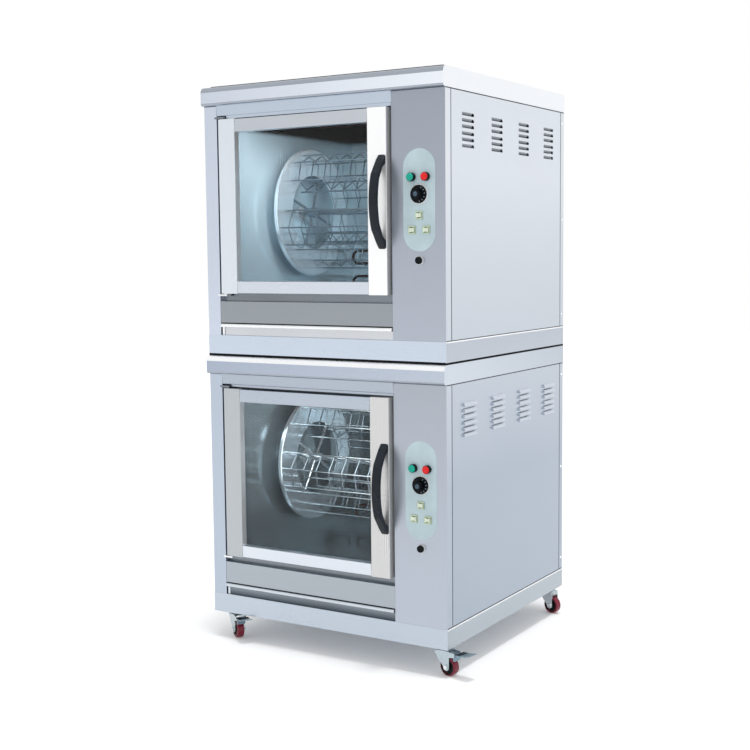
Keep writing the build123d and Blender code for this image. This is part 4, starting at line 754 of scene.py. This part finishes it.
def make_door(deck):
    """Two full-height stiles with a rail between them at top and bottom, and the pane."""
    floor = DECKS[deck]
    body = f"{deck}_door"
    node = [f"{deck}_door_frame"]
    # Painted light: the stiles and rails take lit and shaded tones of one steel, by side and by
    # deck
    for side in ("left", "right"):
        bm = bmesh.new()
        add_prism(bm, member_section(side), "Z", DOOR["bottom"], DOOR["top"])
        look = f"stile_{side}_{deck}"
        stile = draw(f"{deck}_door_{side}_stile", bm, floor, body, look, node, bevel=0.5)
        # Painted highlight on the faces that face right: the right stile's outer side and the left
        # stile's side at the window
        zone(stile, "lip_steel", lambda place, normal: normal.x > 0.9 and place.y < GLASS_FRONT)
    for side in ("bottom", "top"):
        outline = [(depth, height) for height, depth in member_section(side)]
        bm = bmesh.new()
        add_prism(bm, outline, "X", WINDOW["left"] + RAIL_JOINT, WINDOW["right"] - RAIL_JOINT)
        look = f"rail_{side}_{deck}"
        draw(f"{deck}_door_{side}_rail", bm, floor, body, look, node, bevel=0.3)
    reach = REBATE - PANE_PLAY
    bm = bmesh.new()
    add_bar(bm, (WINDOW["left"] - reach, GLASS_FRONT, WINDOW["bottom"] - reach),
            (WINDOW["right"] + reach, GLASS_BACK, WINDOW["top"] + reach), 0.5)
    draw(f"{deck}_door_pane", bm, floor, body, "door_glass", [f"{deck}_door_glass"], 0)


HANDLE_X = 582.5
HANDLE_MIDDLE = 407
HANDLE_HALF_WIDTH = 11.8
HANDLE_SQUARENESS = 0.4
HANDLE_SECTIONS = 90
HANDLE_SIDES = 32
# Sides of the bow as (depth, height) arcs: where the foot starts, how far off the door and how long
# the arc is, how far out it reaches, and how the corner at the foot is rounded
BOW_OUTSIDE = {"foot": 119, "rise": 12, "half": 119, "crown": -61.9, "radius": 9, "steps": 8}
BOW_INSIDE = {"foot": 94, "rise": 17, "half": 91, "crown": -48.9, "radius": 6, "steps": 6}
BOW_STEPS = 40
BOW_JOIN = 8


def bow_side(foot, rise, half, crown, radius, steps):
    """One side of the bow from the lower foot to the upper one, as (depth, height) points."""
    face = DOOR["front"]
    depth = face - rise - crown
    arc_radius = (half ** 2 + depth ** 2) / (2 * depth)
    arc = []
    for i in range(BOW_STEPS + 1):
        height = half * (2 * i / BOW_STEPS - 1)
        arc.append((crown + arc_radius - sqrt(arc_radius ** 2 - height ** 2),
                    HANDLE_MIDDLE + height))
    corners = [(face, HANDLE_MIDDLE - foot), arc[0], arc[BOW_JOIN]]
    start = [(p.x, p.y) for p in softened(corners, radius, steps, False)[:-1]]
    end = [(y, 2 * HANDLE_MIDDLE - z) for y, z in reversed(start)]
    return start + arc[BOW_JOIN:BOW_STEPS - BOW_JOIN + 1] + end


def at_share(path, share):
    """The point at a share of a path's length."""
    lengths = [0.0]
    for (a, b), (c, d) in zip(path, path[1:]):
        lengths.append(lengths[-1] + sqrt((c - a) ** 2 + (d - b) ** 2))
    target = share * lengths[-1]
    for i in range(1, len(path)):
        if lengths[i] >= target - 1e-9:
            t = (target - lengths[i - 1]) / max(1e-9, lengths[i] - lengths[i - 1])
            return Vector(path[i - 1]).lerp(Vector(path[i]), t)
    return Vector(path[-1])


def squared(value):
    """A sine or cosine bent towards that of a box, for a section with round corners."""
    return abs(value) ** HANDLE_SQUARENESS * (1 if value > 0 else -1)


def make_handle(deck):
    """The moulded bow with round corners to its section, and its two feet against the stile."""
    outside, inside = bow_side(**BOW_OUTSIDE), bow_side(**BOW_INSIDE)
    bm = bmesh.new()
    rings = []
    for i in range(HANDLE_SECTIONS + 1):
        out = at_share(outside, i / HANDLE_SECTIONS)
        into = at_share(inside, i / HANDLE_SECTIONS)
        ring = []
        for k in range(HANDLE_SIDES):
            turn = 2 * pi * k / HANDLE_SIDES
            x = HANDLE_X + HANDLE_HALF_WIDTH * squared(cos(turn))
            point = (out + into) / 2 + (out - into) / 2 * squared(sin(turn))
            ring.append(bm.verts.new((x, point.x, point.y)))
        rings.append(ring)
    add_skin(bm, rings)
    node = [f"{deck}_door_handle"]
    draw(f"{deck}_door_bow", bm, DECKS[deck], f"{deck}_door", "bow", node, 60)


# The rotor

AXIS_Y, AXIS_Z = 372, 400
CAGE_LEFT, CAGE_RIGHT = 112, 548
# Inner face of each wheel, and its outward direction
WHEELS = ((CAGE_LEFT, -1), (CAGE_RIGHT, 1))
RIM, HOLE = 188, 109
# Profiles as (radius, distance outwards)
WHEEL_PROFILE = [(HOLE, 0), (HOLE, 2), (RIM - 5, 2), (RIM - 3, 3), (RIM - 2, 5), (RIM - 2, 10),
                 (RIM, 10), (RIM, 4), (RIM - 0.6, 2), (RIM - 2, 0.6), (RIM - 4, 0)]
HUB_PROFILE = [(8.05, -12), (13.5, -12), (15, -10.5), (15, 12.5), (13.5, 14), (8.05, 14)]
SPOKE_ANGLES = {"lower": 57, "upper": 70}
SPOKE_RADIUS = 4
SPOKE_OUTWARD = 5.5
SPOKE_START, SPOKE_END = 12, HOLE + 9
CAGE_CORNERS = [(27, 170), (62, 128), (34, 80), (-34, 80), (-62, 128), (-27, 170)]
CAGE_RINGS = 10
CAGE_PITCH = 44
CAGE_WIRE, CAGE_LOOP = 2, 1.5
LOOP_CORNER = 5
# How far a basket's wires reach past the wheels' inner faces: its outer two are its pegs
WIRE_REACH = (6, -1, -1, -1, -1, 6)


def on_rotor(angle, across, out):
    """Depth and height of a place on the rotor, across and out from a ray at an angle."""
    turn = radians(angle)
    return (AXIS_Y + out * cos(turn) + across * sin(turn),
            AXIS_Z + out * sin(turn) - across * cos(turn))


def add_wheel_part(bm, profile, face, outward, steps):
    """A round part of a rotor wheel."""
    turned = [(radius, face + outward * distance) for radius, distance in profile]
    add_lathe(bm, turned, (0, AXIS_Y, AXIS_Z), "X", steps)


def make_rotor(deck):
    """Two flanged wheels on spokes, four wire baskets between them, and the shaft."""
    floor = DECKS[deck]
    body = f"{deck}_rotor"
    first_angle = SPOKE_ANGLES[deck]
    node = [f"{deck}_rotor_wheels"]
    bm = bmesh.new()
    for face, outward in WHEELS:
        add_wheel_part(bm, WHEEL_PROFILE, face, outward, 128)
    draw(f"{deck}_rotor_rings", bm, floor, body, "rotor_steel", node, 40)
    bm = bmesh.new()
    for face, outward in WHEELS:
        add_wheel_part(bm, HUB_PROFILE, face, outward, 48)
        x = face + outward * SPOKE_OUTWARD
        for quarter in range(4):
            angle = first_angle + 90 * quarter
            ends = [(x, *on_rotor(angle, 0, out)) for out in (SPOKE_START, SPOKE_END)]
            add_tube(bm, ends, SPOKE_RADIUS, 16)
    draw(f"{deck}_rotor_spokes", bm, floor, body, f"spoke_{deck}", node, 40)
    node = [f"{deck}_baskets"]
    wires, loops = bmesh.new(), bmesh.new()
    first = CAGE_LEFT + (CAGE_RIGHT - CAGE_LEFT - CAGE_PITCH * (CAGE_RINGS - 1)) / 2
    for quarter in range(4):
        angle = first_angle + 45 + 90 * quarter
        places = [on_rotor(angle, *corner) for corner in CAGE_CORNERS]
        for (y, z), reach in zip(places, WIRE_REACH):
            ends = [(CAGE_LEFT - reach, y, z), (CAGE_RIGHT + reach, y, z)]
            add_tube(wires, ends, CAGE_WIRE, 10)
        for ring in range(CAGE_RINGS):
            x = first + CAGE_PITCH * ring
            loop = softened([(x, *place) for place in places], LOOP_CORNER, 4)
            add_tube(loops, loop, CAGE_LOOP, 8, True)
    # Painted light: the wires and loops take a lit tone on one deck and a shaded one on the other
    draw(f"{deck}_basket_wires", wires, floor, body, f"wire_{deck}", node, 60)
    draw(f"{deck}_basket_loops", loops, floor, body, f"loop_{deck}", node, 60)
    dressed(f"{deck}_rotor_shaft", f"spoke_{deck}", 0.0)


# The controls

PANEL_X = 684
LAMPS = ((663.5, "green"), (704.5, "red"))
LAMP_Z = 467
KNOB_Z = 424
RESET_Z = 258.5
COLLAR_RADIUS = 14
POCKET_FRONT = -2.4
# Profiles as (radius, depth from the fascia's face)
LAMP_BEZEL = [(9.4, -0.5), (11, -0.5), (11, -11.2), (10.4, -12), (9.4, -12)]
LAMP_BARREL = [(0, 24), (8, 24), (8, -0.5), (0, -0.5)]
LAMP_LENS = [(0, -0.6), (9.3, -0.6), (9.3, -11.6), (9.9, -12.2), (9.6, -13.8), (8.4, -15.1),
             (5.8, -15.8), (0, -16)]
DIAL_RING = [(18, -0.5), (25.3, -0.5), (25.3, -1.2), (24.6, -2), (18, -2)]
SPINDLE_SLEEVE = [(3.2, 1.2), (5.2, 1.2), (5.2, -0.5), (3.2, -0.5)]
KNOB_CAP = [(0, -21), (6.2, -21), (6.2, -21.6), (5.4, -22.4), (3, -23), (0, -23.2)]
THERMOSTAT_HALF = 22
THERMOSTAT_BACK = 31.2
SPINDLE_RADIUS, SPINDLE_FRONT = 3, -16
MARK_ANGLES = (-78, -50, -22, 6, 34, 62)
MARK_RADIUS = 18.4
MARK_HALF_LENGTH, MARK_HALF_WIDTH = 2.3, 0.55
MARK_BACK, MARK_FRONT = -6.45, -6.7
ROCKERS = {"lamp": (684, 371.5), "rotation": (663.5, 335), "heating": (704.5, 335)}
ROCKER_HALF_WIDTH = 7.4
ROCKER_STEPS = 12
# A rocker's front, half height and back in its middle, and how they change towards its ends
ROCKER_FRONT, ROCKER_HORN = -3.5, 1.6
ROCKER_HALF_HEIGHT, ROCKER_FLARE = 4.6, 1.7
ROCKER_BACK, ROCKER_BELLY = 5.5, 2.5
ROCKER_BEND = 1.4
ROCKER_RIDGE = 0.35
ROCKER_PIN = rod(1.4, -8.4, 8.4, 0.2)
ROCKER_PIVOT_Y = 3
ROCKER_TILT = 7


def make_lamp(deck, x, colour):
    """A pilot lamp: black bezel and barrel, and a domed lens."""
    floor = DECKS[deck]
    centre = (x, 0, LAMP_Z)
    node = ["indicator_lamps"]
    bm = bmesh.new()
    add_lathe(bm, LAMP_BEZEL, centre, "Y")
    add_lathe(bm, LAMP_BARREL, centre, "Y", 32)
    draw(f"{deck}_{colour}_lamp_body", bm, floor, "cabinet", "black", node, 40)
    bm = bmesh.new()
    add_lathe(bm, LAMP_LENS, centre, "Y")
    draw(f"{deck}_{colour}_lamp_lens", bm, floor, "cabinet", colour, node, 50)


def make_thermostat(deck):
    """Ring, body and spindle, and the knob with its scale marks and its cap."""
    floor = DECKS[deck]
    centre = Vector((PANEL_X, 0, KNOB_Z))
    node = ["thermostats"]
    bm = bmesh.new()
    add_lathe(bm, DIAL_RING, centre, "Y", 96)
    draw(f"{deck}_dial_ring", bm, floor, "cabinet", "white_ink", node, 40)
    bm = bmesh.new()
    half = THERMOSTAT_HALF
    add_lathe(bm, rod(SPINDLE_RADIUS, SPINDLE_FRONT, SHEET), centre, "Y", 24)
    add_bar(bm, centre + Vector((-half, SHEET, -half)),
            centre + Vector((half, THERMOSTAT_BACK, half)), 3)
    add_lathe(bm, SPINDLE_SLEEVE, centre, "Y", 24)
    draw(f"{deck}_thermostat_body", bm, floor, "cabinet", "black", node, 40)
    body = frame["nodes"][f"{deck}_thermostat_knob"]["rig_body"]
    dressed(f"{deck}_thermostat_knob", "black", 0.0)
    bm = bmesh.new()
    for degrees in MARK_ANGLES:
        angle = radians(degrees)
        out = Vector((cos(angle), 0, sin(angle)))
        side = Vector((-sin(angle), 0, cos(angle)))
        corners = [centre + out * (MARK_RADIUS + a * MARK_HALF_LENGTH) + side * b * MARK_HALF_WIDTH
                   for a, b in ((-1, -1), (1, -1), (1, 1), (-1, 1))]
        add_skin(bm, [[bm.verts.new(corner + Vector((0, depth, 0))) for corner in corners]
                      for depth in (MARK_BACK, MARK_FRONT)])
    draw(f"{deck}_knob_marks", bm, floor, body, "scale_ink")
    # Painted highlight: a blue-grey domed cap stands for the glint on the knob's centre
    bm = bmesh.new()
    add_lathe(bm, KNOB_CAP, centre, "Y", 40)
    draw(f"{deck}_knob_cap", bm, floor, body, "knob_cap", (), 50)


def make_rocker(deck, use):
    """A rocker in the shape of a bow tie: lower and narrower in the middle than at its ends."""
    x0, z0 = ROCKERS[use]
    node = f"{deck}_{use}_rocker"
    bm = bmesh.new()
    rings = []
    for i in range(ROCKER_STEPS + 1):
        t = 2 * i / ROCKER_STEPS - 1
        bend = abs(t) ** ROCKER_BEND
        x = x0 + ROCKER_HALF_WIDTH * t
        front = ROCKER_FRONT - ROCKER_HORN * bend
        half = ROCKER_HALF_HEIGHT + ROCKER_FLARE * bend
        back = ROCKER_BACK - ROCKER_BELLY * t ** 2
        corners = [(front, half), (front - ROCKER_RIDGE, 0), (front, -half), (back, -half),
                   (back, half)]
        rings.append([bm.verts.new((x, y, z0 + z)) for y, z in corners])
    add_skin(bm, rings)
    add_lathe(bm, ROCKER_PIN, (x0, ROCKER_PIVOT_Y, z0), "Z", 16)
    pivot = Matrix.Translation((x0, ROCKER_PIVOT_Y, 0))
    turned = pivot @ Matrix.Rotation(radians(-ROCKER_TILT), 4, "Z") @ pivot.inverted()
    bmesh.ops.transform(bm, matrix=turned, verts=bm.verts)
    body = frame["nodes"][node]["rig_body"]
    draw(f"{node}_bow", bm, DECKS[deck], body, "ivory", [node], 40, 0.5)


def make_controls():
    """Pilot lamps, dial and knob, switches and reset button of both panels."""
    for deck in DECKS:
        for x, colour in LAMPS:
            make_lamp(deck, x, colour)
        make_thermostat(deck)
        dressed(f"{deck}_reset_button", "black", 0.0)
        for use in ROCKERS:
            make_rocker(deck, use)

    def on_collar(place, normal):
        heights = [floor / MM + RESET_Z for floor in DECKS.values()]
        return any(abs(place.z - height) < COLLAR_RADIUS for height in heights)

    def in_pocket(place, normal):
        return place.y > POCKET_FRONT and not on_collar(place, normal)

    dressed("switch_bodies", "sage", 0.3, [("white_ink", on_collar), ("sage_shade", in_pocket)])
    dressed("control_plates", "film", 0.0)


# The casters

HUB_RADIUS = 17.9
NUT_RADIUS = 6
NUT_REACH = 22
# Ribs across a pedal as start, end and the plate's height at both, and their half length
RIBS = ((56.5, 61.5, 64.6, 65.0), (66, 70, 65.2, 65.6))
RIB_HALF = 17.3
# Kingpin of each braked caster, and the pedal's angle
PEDALS = {"front_left": (46, 38, -34), "front_right": (724, 38, -12)}


def make_casters():
    """Wheels with a black hub in a crimson tread, plated forks, and pedals with two ribs."""
    for corner in ("front_left", "front_right", "rear_left", "rear_right"):
        node = f"caster_wheel_{corner}"
        low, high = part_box(node)
        axle = ((low + high) / 2 - Vector((LEFT, FRONT, 0))) / MM

        def on_hub(place, normal, axle=axle):
            return (place - axle).length < HUB_RADIUS

        def on_nut(place, normal, axle=axle):
            near = abs(place.z - axle.z) < NUT_RADIUS and (place - axle).length < NUT_REACH
            return near and abs(normal.z) < 0.95

        dressed(node, "tread", 0.0, [("hub", on_hub)])
        dressed(f"caster_fork_{corner}", "zinc", 0.3, [("bright_steel", on_nut)])
    for corner, (x, y, angle) in PEDALS.items():
        dressed(f"brake_pedal_{corner}", "pedal_steel", 0.3)
        bm = bmesh.new()
        for start, end, low, high in RIBS:
            rib = [(start, low - 0.6), (end, high - 0.6), (end, high + 1), (start, low + 1)]
            add_prism(bm, rib, "Y", -RIB_HALF, RIB_HALF)
        turned = Matrix.Translation((x, y, 0)) @ Matrix.Rotation(radians(angle), 4, "Z")
        bmesh.ops.transform(bm, matrix=turned, verts=bm.verts)
        body = frame["nodes"][f"brake_pedal_{corner}"]["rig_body"]
        draw(f"{corner}_pedal_ribs", bm, 0, body, "black", bevel=0.3)


def on_upper_hinge(place, normal):
    """Whether a face is on the upper hinge bracket of a deck."""
    heights = [place.z - floor / MM for floor in DECKS.values()]
    return any(CEILING < height < COVER_BOTTOM for height in heights)


for deck in DECKS:
    make_cabinet(deck)
    make_door(deck)
    make_handle(deck)
    make_rotor(deck)
make_controls()
make_casters()
dressed("left_side_panels", "side_steel", 0.2)
dressed("rear_panels", "side_steel", 0.2)
dressed("caster_plates", "zinc", 0.3)
# Painted shade: the upper hinge brackets take the jamb's dark tone
dressed("hinge_brackets", "bright_steel", 0.4, [("jamb_steel", on_upper_hinge)])
dressed("panel_screws", "bright_steel", 0.0)
finish_cad("heating_elements", "oxidised")
finish_cad("shaft_bearings", "bright_steel")
finish_cad("gear_motors", "casting")
finish_cad("oven_lamps", "lamp_glass")
finish_cad("cable_glands", "black")


# Floor, light and camera

FLOOR_SIZE = 14
FLOOR_TONE = (0.96, 0.96, 0.96, 1)
FLOOR_GLOW = 0.12
WORLD_LIGHT = 0.78
SUN_POWER, SUN_ANGLE = 1.12, 9
SUN_TILT, SUN_TURN = 5, 60
# Name, place, direction and size in millimetres, and power in each deck
OVEN_LIGHTS = (
    ("top_light", (330, 90, 650), (-60, 240, -320), (420, 120), {"upper": 3.8, "lower": 1.0}),
    ("side_light", (575, 200, 400), (-400, 60, -20), (260, 380), {"upper": 3.0, "lower": 1.5}),
)
SENSOR, LENS = 36, 60.66
CAMERA_YAW, CAMERA_PITCH, CAMERA_ROLL = 31.52, -5.53, -0.56
# From the lower deck's corner, in metres
CAMERA_PLACE = (2.258, -2.787, 1.019)


def seen_by_eye(tree):
    """1 for what is seen directly, in a reflection or through glass, and 0 for light."""
    path = tree.nodes.new("ShaderNodeLightPath")
    seen = path.outputs["Is Camera Ray"]
    for ray in ("Is Glossy Ray", "Is Transmission Ray"):
        larger = tree.nodes.new("ShaderNodeMath")
        larger.operation = "MAXIMUM"
        tree.links.new(seen, larger.inputs[0])
        tree.links.new(path.outputs[ray], larger.inputs[1])
        seen = larger.outputs[0]
    return seen


def place_in_scene(name, data):
    """A new object in the scene."""
    item = bpy.data.objects.new(name, data)
    bpy.context.scene.collection.objects.link(item)
    return item


def make_floor():
    """A pale floor that takes the shadow."""
    bm = bmesh.new()
    bmesh.ops.create_grid(bm, x_segments=1, y_segments=1, size=FLOOR_SIZE)
    mesh = bpy.data.meshes.new("floor")
    bm.to_mesh(mesh)
    bm.free()
    floor = place_in_scene("floor", mesh)
    material = bpy.data.materials.new("pale_floor")
    material.use_nodes = True
    tree = material.node_tree
    shader = tree.nodes["Principled BSDF"]
    shader.inputs["Base Color"].default_value = FLOOR_TONE
    shader.inputs["Roughness"].default_value = 0.95
    shader.inputs["Specular IOR Level"].default_value = 0.0
    shader.inputs["Emission Color"].default_value = (1, 1, 1, 1)
    glow = map_range(tree, seen_by_eye(tree), high=FLOOR_GLOW)
    tree.links.new(glow, shader.inputs["Emission Strength"])
    mesh.materials.append(material)


def make_light():
    """A white world and a soft sun, and two soft lamps in each oven that aren't seen themselves."""
    world = bpy.data.worlds.new("studio")
    bpy.context.scene.world = world
    world.use_nodes = True
    tree = world.node_tree
    background = tree.nodes["Background"]
    background.inputs["Color"].default_value = (1, 1, 1, 1)
    strength = map_range(tree, seen_by_eye(tree), low=WORLD_LIGHT)
    tree.links.new(strength, background.inputs["Strength"])

    sun = bpy.data.lights.new("soft_key", "SUN")
    sun.energy = SUN_POWER
    sun.angle = radians(SUN_ANGLE)
    lamp = place_in_scene("soft_key", sun)
    lamp.rotation_euler = (radians(SUN_TILT), 0, radians(SUN_TURN))

    for deck in ("upper", "lower"):
        for name, place, direction, size, powers in OVEN_LIGHTS:
            area = bpy.data.lights.new(f"{deck}_{name}", "AREA")
            area.shape = "RECTANGLE"
            area.size, area.size_y = (edge * MM for edge in size)
            area.energy = powers[deck]
            lamp = place_in_scene(f"{deck}_{name}", area)
            lamp.location = Vector((LEFT, FRONT, DECKS[deck])) + Vector(place) * MM
            lamp.rotation_euler = Vector(direction).to_track_quat("-Z", "Y").to_euler()
            lamp.visible_camera = False
            lamp.visible_glossy = deck == "lower"
            lamp.visible_transmission = False


def make_camera():
    """The photograph's viewing angle."""
    data = bpy.data.cameras.new("camera")
    data.sensor_fit = "HORIZONTAL"
    data.sensor_width = SENSOR
    data.lens = LENS
    data.clip_end = 100
    camera = place_in_scene("camera", data)
    yaw, pitch, roll = radians(CAMERA_YAW), radians(CAMERA_PITCH), radians(CAMERA_ROLL)
    forward = Vector((-sin(yaw) * cos(pitch), cos(yaw) * cos(pitch), sin(pitch)))
    level = forward.cross(Vector((0, 0, 1))).normalized()
    upright = level.cross(forward)
    right = level * cos(roll) + upright * sin(roll)
    up = upright * cos(roll) - level * sin(roll)
    turn = Matrix((right, up, -forward)).transposed()
    eye = Vector((LEFT, FRONT, LOW)) + Vector(CAMERA_PLACE)
    camera.matrix_world = Matrix.Translation(eye) @ turn.to_4x4()
    bpy.context.scene.camera = camera


make_floor()
make_light()
make_camera()
bpy.context.scene.view_settings.view_transform = "Standard"
